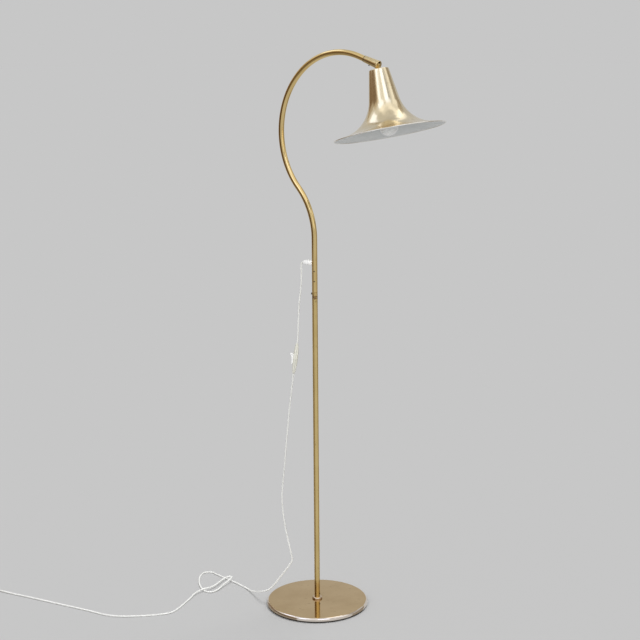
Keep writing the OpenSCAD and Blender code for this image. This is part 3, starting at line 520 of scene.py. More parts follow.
class Paint:
    """A material in the making, with constants set on its shader's own sockets."""

    def __init__(self, name, **constants):
        self.material = bpy.data.materials.new(name)
        self.material.use_nodes = True
        self.tree = self.material.node_tree
        self.shader = self.tree.nodes["Principled BSDF"].inputs
        for socket, value in constants.items():
            self.shader[socket.replace("_", " ")].default_value = value

    def add(self, kind, **settings):
        """A new node with its settings."""
        node = self.tree.nodes.new("ShaderNode" + kind)
        for name, value in settings.items():
            setattr(node, name, value)
        return node

    def link(self, source, socket):
        """Joins an output to an input."""
        self.tree.links.new(source, socket)

    def place(self, kind="Object"):
        """Coordinates on the piece."""
        return self.add("TexCoord").outputs[kind]

    def height(self):
        """Height on the piece."""
        split = self.add("SeparateXYZ")
        self.link(self.place(), split.inputs["Vector"])
        return split.outputs["Z"]

    def round_place(self):
        """Coordinates that are the same all round the z axis: distance from it, height, nothing."""
        flat = self.add("VectorMath", operation="MULTIPLY")
        flat.inputs[1].default_value = (1, 1, 0)
        self.link(self.place(), flat.inputs[0])
        reach = self.add("VectorMath", operation="LENGTH")
        self.link(flat.outputs["Vector"], reach.inputs[0])
        both = self.add("CombineXYZ")
        self.link(reach.outputs["Value"], both.inputs["X"])
        self.link(self.height(), both.inputs["Y"])
        return both.outputs["Vector"]

    def noise(self, stretch, source=None, detail=4.0):
        """A noise of about one cycle for each unit of the stretched source coordinates."""
        mapping = self.add("Mapping")
        scale = stretch if isinstance(stretch, tuple) else (stretch,) * 3
        mapping.inputs["Scale"].default_value = scale
        noise = self.add("TexNoise")
        noise.inputs["Scale"].default_value = 1.0
        noise.inputs["Detail"].default_value = detail
        noise.inputs["Roughness"].default_value = 0.55
        self.link(source or self.place(), mapping.inputs["Vector"])
        self.link(mapping.outputs["Vector"], noise.inputs["Vector"])
        return noise.outputs["Fac"]

    def product(self, a, b):
        """Two values multiplied."""
        both = self.add("Math", operation="MULTIPLY")
        self.link(a, both.inputs[0])
        self.link(b, both.inputs[1])
        return both.outputs["Value"]

    def spread(self, source, start, end, low=0.0, high=1.0):
        """A source between two levels, spread from a low value to a high one."""
        node = self.add("MapRange")
        for name, value in (("From Min", start), ("From Max", end), ("To Min", low), ("To Max", high)):
            node.inputs[name].default_value = value
        self.link(source, node.inputs["Value"])
        return node.outputs["Result"]

    def heights(self, low, high):
        """0 at one height of the piece and 1 at another."""
        return self.spread(self.height(), low, high)

    def ramp(self, source, levels, low, high):
        """One colour where a source is low, another where it is high."""
        node = self.add("ValToRGB")
        for element, level, colour in zip(node.color_ramp.elements, levels, (low, high)):
            element.position = level
            element.color = (*colour, 1)
        self.link(source, node.inputs["Fac"])
        return node.outputs["Color"]

    def tint(self, noise, low, high):
        """Base colour that drifts between two colours with a noise."""
        self.link(self.ramp(noise, TINT_SPREAD, low, high), self.shader["Base Color"])

    def spots(self, mask, colour, levels=(0.0, 1.0)):
        """Another base colour where a mask is high."""
        mix = self.add("Mix", data_type="RGBA")
        before = self.shader["Base Color"].links[0].from_socket
        self.link(self.ramp(mask, levels, (0, 0, 0), (1, 1, 1)), mix.inputs["Factor"])
        self.link(before, mix.inputs["A"])
        mix.inputs["B"].default_value = (*colour, 1)
        self.link(mix.outputs["Result"], self.shader["Base Color"])

    def gloss(self, noise, low, high):
        """Roughness that drifts between two values with a noise."""
        self.link(self.spread(noise, *GLOSS_SPREAD, low, high), self.shader["Roughness"])

    def relief(self, noise, depth):
        """Bump of a depth in metres from a noise."""
        bump = self.add("Bump")
        bump.inputs["Strength"].default_value = 1.0
        bump.inputs["Distance"].default_value = depth
        self.link(noise, bump.inputs["Height"])
        self.link(bump.outputs["Normal"], self.shader["Normal"])


def tube_brass(name, low, high, rough, worn=None):
    """Satin brass with draw lines along the tube, a slow drift of age, tarnish spots and a rubbed end."""
    paint = Paint(name, Metallic=1.0)
    paint.tint(paint.noise(9), low, high)
    paint.spots(paint.noise((170, 170, 60)), [0.62 * c for c in low], (0.64, 0.74))
    if worn:
        rubbed = paint.product(paint.heights(*worn), paint.noise((330, 330, 220)))
        paint.spots(rubbed, WORN_BROWN, (0.42, 0.56))
    lines = paint.noise((60, 4, 1), paint.place("UV"), detail=3.0)
    paint.gloss(lines, *rough)
    paint.relief(lines, DRAW_LINE_DEPTH)
    return paint.material


def fitting_brass(name, low, high, rough, grime_and_shade=None):
    """Brass of the small turned fittings, with brown spots, and grime with painted shade that fades between
    two heights.
    """
    paint = Paint(name, Metallic=1.0)
    paint.tint(paint.noise(60), low, high)
    paint.spots(paint.noise(260), [0.6 * c for c in low], (0.58, 0.70))
    if grime_and_shade:
        # Grime, and painted shade of a step: darker below the lower height.
        paint.spots(paint.heights(*grime_and_shade), GRIME_AND_SHADE_BROWN)
    paint.gloss(paint.noise(350), *rough)
    return paint.material


def spun_brass(name, low, high, rough, worn_lit_shaded_edge=False):
    """Polished brass with faint rings from spinning, round the piece's own z axis, and if asked a pale
    rubbed edge that is wear and painted highlight, with painted shade towards the floor.
    """
    paint = Paint(name, Metallic=1.0)
    paint.tint(paint.noise(12), low, high)
    paint.spots(paint.noise(70), [0.9 * c for c in low], (0.60, 0.75))
    if worn_lit_shaded_edge:
        # Pale rubbed patches on the top edge: wear, and a painted highlight along the edge.
        rubbed = paint.product(paint.heights(*WEAR_AND_HIGHLIGHT_HEIGHTS), paint.noise((60, 60, 200)))
        paint.spots(rubbed, PALE_WEAR_AND_HIGHLIGHT, (0.22, 0.42))
        # Painted shade: the base's side turns black towards the floor.
        paint.spots(paint.heights(*FOOT_SHADE_HEIGHTS), FOOT_SHADE_BLACK)
    rings = paint.noise((900, 900, 1), paint.round_place(), detail=2.0)
    paint.gloss(rings, *rough)
    paint.relief(rings, SPUN_RING_DEPTH)
    return paint.material


def enamel():
    """White stoved enamel inside the shade, greyed to a light grey as painted shade inside the bell."""
    paint = Paint("enamel_painted_shade", IOR=1.5)
    paint.tint(paint.noise(25), (0.58, 0.60, 0.59), (0.65, 0.66, 0.65))
    paint.gloss(paint.noise(200), 0.30, 0.42)
    paint.relief(paint.noise(500), SKIN_DEPTH)
    return paint.material


def plastic(name, low, high, rough, grain=700, shaded_above=None):
    """Moulded plastic with a fine skin, greyed above a height as painted shade."""
    paint = Paint(name, IOR=1.47)
    paint.tint(paint.noise(45), low, high)
    if shaded_above:
        # Painted shade: greyer above the upper height, lighter towards the floor.
        paint.spots(paint.heights(*shaded_above), [UPPER_SHADE_SHARE * c for c in low])
    skin = paint.noise(grain, detail=2.0)
    paint.gloss(skin, *rough)
    paint.relief(skin, SKIN_DEPTH)
    return paint.material


def metal(name, low, high, rough):
    """Plain metal of screws, pins and weights."""
    paint = Paint(name, Metallic=1.0)
    paint.tint(paint.noise(120), low, high)
    grain = paint.noise(900)
    paint.gloss(grain, *rough)
    paint.relief(grain, METAL_GRAIN_DEPTH)
    return paint.material


def felt():
    """Dark felt under the base."""
    paint = Paint("black_felt", Sheen_Weight=0.4, Sheen_Roughness=0.6)
    fuzz = paint.noise(1500, detail=6.0)
    paint.tint(fuzz, (0.006, 0.007, 0.006), (0.022, 0.024, 0.022))
    paint.gloss(fuzz, 0.85, 1.0)
    paint.relief(fuzz, FELT_FUZZ_DEPTH)
    return paint.material


def opal():
    """Opal glass of the bulb."""
    paint = Paint("opal_glass", IOR=1.5, Coat_Weight=0.5, Coat_Roughness=0.05)
    paint.tint(paint.noise(20), (0.86, 0.86, 0.84), (0.90, 0.90, 0.89))
    paint.gloss(paint.noise(80), 0.18, 0.26)
    return paint.material


NECK_BRASS = tube_brass("neck_brass", (0.78, 0.575, 0.25), (0.87, 0.66, 0.31), (0.08, 0.13))
POLE_BRASS = tube_brass(
    "pole_brass", (0.76, 0.57, 0.24), (0.86, 0.66, 0.30), (0.15, 0.22), worn=(0.786, 0.800)
)
FITTING_BRASS = fitting_brass("fitting_brass", (0.70, 0.51, 0.22), (0.84, 0.65, 0.32), (0.18, 0.30))
# The sleeve darkens at its start: grime of the joint and painted shade of the step.
SLEEVE_BRASS = fitting_brass(
    "sleeve_brass", (0.78, 0.62, 0.34), (0.88, 0.74, 0.46), (0.08, 0.14), grime_and_shade=(0.0026, 0.0016)
)
# Near-black brass for the slot's inner faces: painted shade in the slot.
SLOT_SHADE_BRASS = fitting_brass("slot_shade_brass", (0.10, 0.07, 0.03), (0.18, 0.12, 0.06), (0.35, 0.55))
BASE_BRASS = spun_brass(
    "base_brass", (0.61, 0.44, 0.23), (0.69, 0.51, 0.28), (0.06, 0.11), worn_lit_shaded_edge=True
)
COLLAR_BRASS = spun_brass("collar_brass", (0.66, 0.50, 0.34), (0.80, 0.66, 0.50), (0.10, 0.18))
SHADE_BRASS = spun_brass("shade_brass", (0.80, 0.68, 0.46), (0.87, 0.76, 0.54), (0.15, 0.22))
# Paler copy of the shade's brass for the rolled lip: a painted highlight along the rim.
LIP_HIGHLIGHT_BRASS = spun_brass("lip_highlight_brass", (0.88, 0.84, 0.77), (0.93, 0.90, 0.84), (0.07, 0.12))
SHADED_ENAMEL = enamel()
# The cord greys from 0.12 m up to 0.34 m and above: painted shade on the hanging cord.
CORD_WHITE = plastic(
    "cord_white", (0.90, 0.90, 0.87), (0.95, 0.95, 0.93), (0.38, 0.50), grain=900, shaded_above=(0.12, 0.34)
)
GRIP_WHITE = plastic("grip_white", (0.90, 0.90, 0.89), (0.95, 0.95, 0.945), (0.30, 0.42))
IVORY = plastic("ivory_plastic", (0.70, 0.69, 0.60), (0.78, 0.77, 0.69), (0.28, 0.40))
ROCKER_WHITE = plastic("rocker_white", (0.90, 0.90, 0.89), (0.95, 0.95, 0.945), (0.20, 0.30))
INSERT_WHITE = plastic("insert_white", (0.62, 0.59, 0.53), (0.70, 0.67, 0.61), (0.40, 0.60))
STEEL = metal("bare_steel", (0.52, 0.52, 0.53), (0.62, 0.62, 0.63), (0.24, 0.36))
DARK_STEEL = metal("dark_steel", (0.05, 0.045, 0.04), (0.10, 0.09, 0.08), (0.30, 0.45))
IRON = metal("cast_iron", (0.03, 0.03, 0.032), (0.06, 0.06, 0.062), (0.60, 0.80))
FELT = felt()
OPAL = opal()


# Cords
def switch_frame():
    """Places a piece with z up along the cord and x out of the rocker's face."""
    turn = Matrix.Rotation(SWITCH_FACING, 4, "Z") @ Matrix.Rotation(-SWITCH_LEAN, 4, "Y")
    return Matrix.Translation(SWITCH_AT) @ turn


SWITCH_UP = (switch_frame().to_3x3() @ Vector((0, 0, 1))).normalized()
SWITCH_TOP = SWITCH_AT + SWITCH_LEN / 2 * SWITCH_UP
SWITCH_BOTTOM = SWITCH_AT - SWITCH_LEN / 2 * SWITCH_UP


def coil_point(turn):
    """A point of the coil after so many turns: inwards on the floor, then outwards a layer higher."""
    half = COIL_TURNS / 2
    radius = COIL_MID_R + COIL_PITCH * (half / 2 - (turn if turn < half else COIL_TURNS - turn))
    climb = max(0.0, min(1.0, (turn - half) * 2 + 0.5))
    angle = COIL_START + 2 * math.pi * turn
    return Vector((
        COIL_CENTRE[0] + radius * math.cos(angle),
        COIL_CENTRE[1] + radius * math.sin(angle),
        COIL_LOW + COIL_PITCH * climb * climb * (3 - 2 * climb),
    ))


def coil_path():
    """The whole coil, with a straight lead at either end."""
    count = round(COIL_TURNS * COIL_RINGS)
    turns = [coil_point(i / COIL_RINGS) for i in range(count + 1)]
    nearby = 0.001
    way_in = (coil_point(nearby) - coil_point(0)).normalized()
    way_out = (coil_point(COIL_TURNS) - coil_point(COIL_TURNS - nearby)).normalized()
    return [turns[0] - CORD_D * way_in, *turns, turns[-1] + CORD_D * way_out]


UPPER_ROUTE = [Vector(p) for p in (
    (-GRIP_TIP, 0, EXIT_Z), (-GRIP_TIP - 0.002, 0, EXIT_Z), (-0.041, 0, 0.886), (-0.044, 0, 0.883),
    (-0.045, 0, 0.878), (-0.0442, -0.001, 0.855), (-0.0444, -0.004, 0.818), (-0.046, -0.008, 0.783),
    (-0.0452, -0.012, 0.749), (-0.0436, -0.015, 0.720), (-0.0428, -0.0172, 0.704),
    SWITCH_TOP + 0.008 * SWITCH_UP, SWITCH_TOP,
)]
COIL_PATH = coil_path()
COIL_HEADING = (COIL_PATH[1] - COIL_PATH[0]).normalized()

# Where the hanging cord stops following the switch
HANG_END = (-0.083, -0.067, 0.054)
LOWER_ROUTE = [Vector(p) for p in (
    SWITCH_BOTTOM, SWITCH_BOTTOM - 0.010 * SWITCH_UP, (-0.057, -0.037, 0.510), (-0.066, -0.047, 0.370),
    (-0.071, -0.053, 0.275), (-0.066, -0.048, 0.205), (-0.055, -0.039, 0.132), (-0.053, -0.037, 0.112),
    (-0.058, -0.043, 0.100), HANG_END, (-0.095, -0.077, 0.036), (-0.115, -0.081, 0.025),
    (-0.170, -0.068, 0.006), (-0.200, -0.058, 0.0026), (-0.245, -0.050, 0.0021), (-0.330, -0.042, 0.0021),
    (-0.354, -0.040, 0.002), (-0.367, -0.055, 0.002), (-0.353, -0.085, 0.002), (-0.310, -0.125, 0.0021),
    (-0.270, -0.143, 0.002), (-0.253, -0.137, 0.0023), (-0.251, -0.117, 0.0032), (-0.259, -0.085, 0.007),
    (-0.268, -0.050, 0.010), (-0.276, -0.039, 0.0096), (-0.285, -0.041, 0.0082), (-0.289, -0.051, 0.0068),
    (-0.283, -0.072, 0.0065), (-0.272, -0.115, 0.006), (-0.277, -0.145, 0.0065), (-0.276, -0.172, 0.005),
    (-0.262, -0.208, 0.0026), (-0.235, -0.288, 0.002), (-0.239, -0.308, 0.002), (-0.275, -0.358, 0.002),
    (-0.330, -0.406, 0.002), (-0.420, -0.430, 0.002), (-0.560, -0.466, 0.0021), (-0.691, -0.500, 0.0026),
    COIL_PATH[0] - 0.012 * COIL_HEADING, COIL_PATH[0],
)]
CORD_STEP = 0.006
CORD_SIDES = 16


def switch_half(side):
    """Half of the switch's spindle: rounded cross-sections from one end to the other, flat at its joint."""
    rings = 41
    steps = 20
    square = 0.5
    fullness = 2.3
    points = []
    for i in range(rings):
        share = 2 * i / (rings - 1) - 1
        belly = 1 - abs(share) ** fullness
        deep = SWITCH_END_HALF_T + (SWITCH_HALF_T - SWITCH_END_HALF_T) * belly - SWITCH_SEAM
        wide = SWITCH_END_HALF_W + (SWITCH_HALF_W - SWITCH_END_HALF_W) * belly
        for k in range(steps + 1):
            turn = math.pi * k / steps
            out = SWITCH_SEAM + deep * math.sin(turn) ** square
            across = wide * math.copysign(abs(math.cos(turn)) ** square, math.cos(turn))
            points.append((side * out, across, share * SWITCH_LEN / 2))
    row = steps + 1
    ends = [tuple(range(row)), tuple(range(len(points) - row, len(points)))]
    return points, [*ends, *ring_faces(rings, row)]


def rocker_outline():
    """The rocker seen from its side: (out from its pin, along the switch)."""
    top = []
    for i in range(ROCKER_STEPS + 1):
        along = ROCKER_HALF_LEN * (2 * i / ROCKER_STEPS - 1)
        dish = (along / ROCKER_HALF_LEN) ** 2
        lift = ROCKER_UPPER_LIFT if along > 0 else 1.0
        top.append((ROCKER_MIDDLE + ROCKER_END_RISE * dish * lift, along))
    foot = [(-ROCKER_SKIRT, -ROCKER_FOOT_HALF), (ROCKER_SKIRT, -ROCKER_HALF_LEN)]
    return [*foot, *top, *((out, -along) for out, along in reversed(foot))]


def add_switch():
    """The in-line switch: two rounded halves, a rocker in its window, and two screws at the back."""
    place = switch_frame()
    front = add_piece(
        "switch_front_shell", switch_half(1), place, IVORY, "ivory_plastic", "rod", "switch_front"
    )
    half = (WINDOW_HALF_W, WINDOW_HALF_LEN)
    window = rounded_rectangle((-half[0], -half[1]), half, WINDOW_CORNER_R)
    cut(front, slab_shape(window, ROCKER_PIN_OUT / 2, SWITCH_HALF_T * 2), place @ END_ON)
    back = add_piece(
        "switch_back_shell", switch_half(-1), place, IVORY, "ivory_plastic", "rod", "switch_back"
    )
    at_pin = place @ Matrix.Translation((ROCKER_PIN_OUT, 0, 0)) @ Matrix.Rotation(ROCKER_TIP, 4, "Y")
    shape = slab_shape(rocker_outline(), -ROCKER_HALF_W, ROCKER_HALF_W)
    rocker = add_piece(
        "rocker_cap", shape, at_pin @ SIDE_ON, ROCKER_WHITE, "rocker_white", "rocker", "switch_rocker"
    )
    soften(rocker, ROCKER_ROUNDING)
    well = lathe_shape([(SWITCH_WELL_R, SWITCH_SEAT), (SWITCH_WELL_R, 2 * SWITCH_HALF_T)], segments=32)
    screw = screw_shape(SWITCH_SHANK_R, SWITCH_SHANK, SWITCH_SCREW_R, SWITCH_SCREW_HEAD)
    pair = []
    for side in (1, -1):
        behind = Matrix.Translation((0, 0, side * SWITCH_SCREW_AT)) @ QUARTER_TURN.inverted()
        cut(back, well, place @ behind)
        pair.append(moved(screw, behind @ Matrix.Translation((0, 0, SWITCH_SEAT))))
    screws = add_piece("switch_back_screws", joined(*pair), place, STEEL, "steel", "rod", "switch_screws")
    return [front, back, rocker, screws]


def add_tie():
    """The band round the coil."""
    low, high = (Vector(corner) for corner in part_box("coil_tie"))
    outer = rounded_rectangle((low.x, low.z), (high.x, high.z), TIE_CORNER_R)
    inner_low = (low.x + TIE_T, low.z + TIE_T)
    inner = rounded_rectangle(inner_low, (high.x - TIE_T, high.z - TIE_T), TIE_CORNER_R - TIE_T)
    band = band_shape(outer, inner, -high.y, -low.y)
    return add_piece("cord_tie", band, SIDE_ON, GRIP_WHITE, "white_plastic", "stand", "coil_tie")


def add_plug():
    """The flat two-pin plug with its ribbed strain relief."""
    way_out = (COIL_PATH[-1] - COIL_PATH[-2]).normalized()
    place = Matrix.Translation(COIL_PATH[-1]) @ Matrix.Rotation(math.atan2(way_out.y, way_out.x), 4, "Z")
    along = place @ QUARTER_TURN
    ribs = [(CORD_D / 2, 0.0)]
    for i in range(RELIEF_RIBS):
        for share, waist in RIB_PROFILE:
            go = (i + share) / RELIEF_RIBS
            ribs.append(((RELIEF_R[0] + (RELIEF_R[1] - RELIEF_R[0]) * go) * waist, RELIEF_LEN * go))
    ribs.append((RELIEF_R[1], RELIEF_LEN))
    ribbed = lathe_shape(ribs, segments=40)
    strain = add_piece(
        "plug_strain_relief", ribbed, along, GRIP_WHITE, "white_plastic", "stand", "plug_relief"
    )
    outline = [(RELIEF_LEN + x, y) for x, y in PLUG_OUTLINE]
    outline += [(x, -y) for x, y in reversed(outline)]
    slab = slab_shape(outline, -PLUG_HALF_H, PLUG_HALF_H)
    body = add_piece("plug_shell", slab, place, GRIP_WHITE, "white_plastic", "stand", "plug_body")
    soften(body, PLUG_ROUNDING, 6)
    pin = [(METAL_PIN_R, 0), (METAL_PIN_R, PLUG_PIN_LEN - PLUG_PIN_R)]
    pin += arc((0, PLUG_PIN_LEN - PLUG_PIN_R), METAL_PIN_R, 0, PIN_TIP_TURN, 6)[1:]
    sleeve = [(PLUG_PIN_R, 0), (PLUG_PIN_R, PIN_SLEEVE_LEN)]
    pins = []
    sleeves = []
    for side in (1, -1):
        aside = Matrix.Translation((0, side * PLUG_PIN_SIDE, 0))
        pins.append(moved(lathe_shape(pin, segments=24), aside))
        sleeves.append(moved(lathe_shape(sleeve, segments=24), aside))
    at_face = along @ Matrix.Translation((0, 0, RELIEF_LEN + PLUG_LEN))
    metal_pins = add_piece("plug_metal_pins", joined(*pins), at_face, STEEL, "steel", "stand", "plug_pins")
    pin_sleeves = add_piece(
        "plug_pin_sleeves", joined(*sleeves), at_face, GRIP_WHITE, "white_plastic", "stand"
    )
    return [strain, body, metal_pins, pin_sleeves]


def add_cords():
    """The cord above the switch, and the one below it with its loop, coil and plug."""
    path = smooth_path(UPPER_ROUTE, CORD_STEP / 2)
    upper = dress(add_tube("flex_above_switch", path, CORD_D / 2, CORD_SIDES), CORD_WHITE)
    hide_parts("cord_upper")
    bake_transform(upper)
    add_switch()

    path = [*smooth_path(LOWER_ROUTE, CORD_STEP), *COIL_PATH[1:]]
    for point in path:
        point.z = max(point.z, CORD_D / 2)
    lower = dress(add_tube("flex_below_switch", path, CORD_D / 2, CORD_SIDES), CORD_WHITE)
    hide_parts("cord_lower", "cord_coil")
    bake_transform(lower)
    plug = [add_tie(), *add_plug()]


add_cords()


# Brass tubes
def neck_path():
    """The swan neck's centre line: straight, two bends, a straight tail and its end in the knuckle."""
    bend_start = NECK_LOW + NECK_STRAIGHT
    lower = (-LOWER_BEND_R, bend_start)
    both = LOWER_BEND_R + UPPER_BEND_R
    upper = (lower[0] + both * math.cos(LOWER_BEND), lower[1] + both * math.sin(LOWER_BEND))
    flat = [(0.0, NECK_LOW + NECK_STRAIGHT * i / 10) for i in range(10)]
    flat += arc(lower, LOWER_BEND_R, 0, LOWER_BEND, 24)
    flat += arc(upper, UPPER_BEND_R, math.pi + LOWER_BEND, math.pi / 2 - DROOP, 72)[1:]
    end = flat[-1]
    for run in (NECK_TAIL, NECK_TAIL + TUBE_IN_SLEEVE):
        flat.append((end[0] + run * math.cos(DROOP), end[1] - run * math.sin(DROOP)))
    return [Vector((x, 0, z)) for x, z in flat]


def add_tubes():
    """The pole and the swan neck."""
    pole_path = [Vector((0, 0, BASE_TOP + (POLE_TOP - BASE_TOP) * i / 20)) for i in range(21)]
    tubes = (("pole", pole_path, "stand", POLE_BRASS), ("swan_neck", neck_path(), "neck", NECK_BRASS))
    for name, path, body, finish in tubes:
        fit(dress(add_tube(name + "_tube", path, TUBE_R, 48), finish), "satin_brass", body, name)


add_tubes()


def add_inner_flex():
    """The flex inside the neck, from the grip up to the knuckle."""
    turn_r = TUBE_R - GRIP_ROOT_LEN
    path = [Vector((x, 0, z)) for x, z in arc((-turn_r, EXIT_Z + turn_r), turn_r, -math.pi / 2, 0, 8)]
    path += [point for point in neck_path() if point.z > EXIT_Z + 2 * turn_r]
    last = path.pop()
    ahead = (last - path[-1]).normalized()
    path.append(path[-1] + FLEX_IN_SLEEVE * ahead)
    flex = dress(add_tube("flex_in_neck", path, CORD_D / 2, 10), CORD_WHITE)
    fit(flex, "white_plastic", "neck", "neck_flex")


add_inner_flex()


# Base, and the small fittings of the pole and the neck
BASE_SEGMENTS = 192


def add_base():
    """The spun base cover, its felt, and the collar round the pole's foot."""
    edge = BASE_R - BASE_EDGE_R
    roll = 0.0012
    skin = [(TUBE_R, BASE_TOP), (edge / 2, BASE_TOP)]
    skin += arc((edge, BASE_TOP - BASE_EDGE_R), BASE_EDGE_R, math.pi / 2, 0, 16)
    skin += arc((BASE_R - roll, COVER_LIFT + roll), roll, 0, -math.pi / 2, 6)
    inner_r = BASE_R - COVER_WALL - roll
    inside = [(inner_r, COVER_LIFT), (inner_r, BASE_TOP - BASE_EDGE_R)]
    inside += [(edge, BASE_TOP - COVER_WALL), (TUBE_R, BASE_TOP - COVER_WALL)]
    cover = lathe_shape(skin + inside, BASE_SEGMENTS, closed=True)
    add_piece("spun_base_cover", cover, UPRIGHT, BASE_BRASS, "polished_brass", "stand", "base_cover")
    pad = lathe_shape([(FELT_R - inset, height) for inset, height in FELT_EDGE], BASE_SEGMENTS)
    add_piece("felt_pad", pad, UPRIGHT, FELT, "black_felt", "stand", "base_felt")
    top = BASE_TOP + COLLAR_H
    bead = [(TUBE_R, BASE_TOP), (COLLAR_R - COLLAR_EASE, BASE_TOP), (COLLAR_R, BASE_TOP + COLLAR_EASE)]
    bead += arc((COLLAR_R - COLLAR_EDGE_R, top - COLLAR_EDGE_R), COLLAR_EDGE_R, 0, math.pi / 2, 10)
    bead += [(TUBE_R + COLLAR_BORE_EASE, top), (TUBE_R, top - COLLAR_BORE_EASE)]
    collar = lathe_shape(bead, segments=64, closed=True)
    add_piece("turned_foot_collar", collar, UPRIGHT, COLLAR_BRASS, "polished_brass", "stand", "foot_collar")


def add_guide_ring():
    """The turned ring at the pole's top, with eased edges and two fine grooves."""
    rim = 0.0005
    groove = 0.00035
    outline = [(ROD_R + HAIR, POLE_TOP), (TUBE_R - rim, POLE_TOP), (TUBE_R, POLE_TOP + rim)]
    for share in RING_GROOVES:
        middle = POLE_TOP + RING_H * share
        outline += [(TUBE_R, middle - groove), (TUBE_R - groove, middle), (TUBE_R, middle + groove)]
    top = POLE_TOP + RING_H
    outline += [(TUBE_R, top - rim), (TUBE_R - rim, top), (ROD_R + HAIR, top)]
    shape = lathe_shape(outline, segments=64, closed=True)
    add_piece("guide_ring", shape, UPRIGHT, FITTING_BRASS, "polished_brass", "stand", "guide_bush")


def sleeve_frame():
    """Places a piece with z along the knuckle's sleeve from the neck's end, and x downwards."""
    end = neck_path()[-2]
    tip = math.pi / 2 + DROOP
    return Matrix.Translation(end) @ Matrix.Rotation(tip, 4, "Y")


def head_frame():
    """Places a piece with its z axis along the shade, from the tilt pin towards the opening."""
    pivot = Vector(joints["head_tilt"]["pos_m"])
    return Matrix.Translation(pivot) @ Matrix.Rotation(math.pi - SHADE_TILT, 4, "Y")


def sleeve_r(at):
    """Radius of the flared sleeve at a distance from its start."""
    return SLEEVE_R + (SLEEVE_END_R - SLEEVE_R) * at / SLEEVE_LEN


def on_tube(turn, height):
    """Places a piece on the side of the upright tubes, facing outwards."""
    way = Vector((math.cos(turn), math.sin(turn), 0))
    return facing(TUBE_R * way + Vector((0, 0, height)), way)


def add_screws():
    """Slotted screws at the foot, the ring, the neck and the knuckle."""
    small = screw_shape(SCREW_R, SCREW_SHANK, SCREW_R, SCREW_PROUD)
    place = on_tube(FOOT_SCREW_TURN, FOOT_SCREW_Z)
    add_piece("slotted_foot_screw", small, place, DARK_STEEL, "dark_steel", "stand", "foot_screw")
    lock = screw_shape(SCREW_R, LOCK_SHANK, LOCK_HEAD_R, LOCK_HEAD_H)
    place = facing((-TUBE_R - LOCK_GAP, 0, POLE_TOP + RING_H / 2), (-1, 0, 0))
    add_piece("slotted_lock_screw", lock, place, DARK_STEEL, "dark_steel", "lock", "lock_screw")
    pair = joined(*(moved(small, on_tube(NECK_SCREW_TURN, height)) for height in NECK_SCREW_HEIGHTS))
    add_piece("slotted_neck_screws", pair, UPRIGHT, DARK_STEEL, "dark_steel", "neck", "neck_screws")
    on_sleeve = Matrix.Translation((sleeve_r(SLEEVE_SCREW_AT), 0, SLEEVE_SCREW_AT))
    place = sleeve_frame() @ on_sleeve @ QUARTER_TURN
    sleeve_screw = screw_shape(SCREW_R, SLEEVE_SHANK, SCREW_R, 2 * SCREW_PROUD)
    add_piece("slotted_sleeve_screw", sleeve_screw, place, DARK_STEEL, "dark_steel", "neck", "sleeve_screw")


def add_sleeve():
    """The flared sleeve on the neck's end, slotted for the tongue, with painted shade on the slot's inner
    faces.
    """
    bevel = 2 * SLEEVE_EDGE
    outline = [(TUBE_R, 0), (SLEEVE_R - SLEEVE_EDGE, 0), (sleeve_r(SLEEVE_EDGE), SLEEVE_EDGE)]
    outline += [(sleeve_r(SLEEVE_LEN * share), SLEEVE_LEN * share) for share in (0.2, 0.4, 0.6, 0.8)]
    outline += arc((SLEEVE_END_R - bevel, SLEEVE_LEN - bevel), bevel, 0, math.pi / 2, 6)
    outline += [(FLEX_HOLE_R, SLEEVE_LEN), (FLEX_HOLE_R, TUBE_IN_SLEEVE), (TUBE_R, TUBE_IN_SLEEVE)]
    shape = lathe_shape(outline, segments=64, closed=True)
    place = sleeve_frame()
    sleeve = add_piece("flared_sleeve", shape, place, SLEEVE_BRASS, "satin_brass", "neck", "knuckle_sleeve")
    half = SLOT_W / 2
    over = 2 * SLEEVE_END_R
    slot = slab_shape(
        [(-SLOT_TOP, -half), (over, -half), (over, half), (-SLOT_TOP, half)],
        FLEX_IN_SLEEVE, SLEEVE_LEN + over,
    )
    cut(sleeve, slot, place)
    # Painted shade: the slot's inner faces take the near-black brass.
    sleeve.data.materials.append(SLOT_SHADE_BRASS)
    for face in sleeve.data.polygons:
        in_slot = abs(face.center.y) < half + HAIR and face.center.z > FLEX_IN_SLEEVE - HAIR
        if in_slot and face.center.xy.length < SLOT_TOP + HAIR:
            face.material_index = 1


def add_tilt_pin():
    """The domed pin across the sleeve."""
    reach = sleeve_r(SLEEVE_LEN - 2 * TILT_PIN_R)
    shares = (0.4, 0.75, 1.0)
    dome = [(TILT_PIN_R * share, reach + TILT_PIN_DOME * (1 - share ** 2)) for share in shares]
    pin = [(r, -z) for r, z in dome] + list(reversed(dome))
    place = Matrix.Translation(joints["head_tilt"]["pos_m"]) @ SIDE_ON
    shape = lathe_shape(pin, segments=32)
    add_piece("domed_tilt_pin", shape, place, FITTING_BRASS, "polished_brass", "neck", "knuckle_pin")


def add_tongue():
    """The tongue in the sleeve's slot: an eye round the tilt pin, shoulders on the shade, and a stem."""
    turn = math.acos(TONGUE_HALF_W / TONGUE_EYE_R)
    outline = arc((0, 0), TONGUE_EYE_R, math.pi - turn, 2 * math.pi + turn, 20)
    top = SHADE_AT - SHOULDER_T
    outline += [(TONGUE_HALF_W, top), (SHOULDER_HALF_W, top), (SHOULDER_HALF_W, SHADE_AT)]
    outline += [(-SHOULDER_HALF_W, SHADE_AT), (-SHOULDER_HALF_W, top), (-TONGUE_HALF_W, top)]
    flat = moved(slab_shape(outline, -TONGUE_HALF_T, TONGUE_HALF_T), SIDE_ON)
    end = SHADE_AT + STEM_LEN
    bore = CORD_D / 2
    stem = lathe_shape([(bore, SHADE_AT), (STEM_R, SHADE_AT), (STEM_R, end), (bore, end)], 48, closed=True)
    tongue = add_piece(
        "shouldered_tongue", joined(flat, stem), head_frame(), FITTING_BRASS, "polished_brass", "head",
        "knuckle_tongue",
    )
    soften(tongue, TONGUE_ROUNDING)


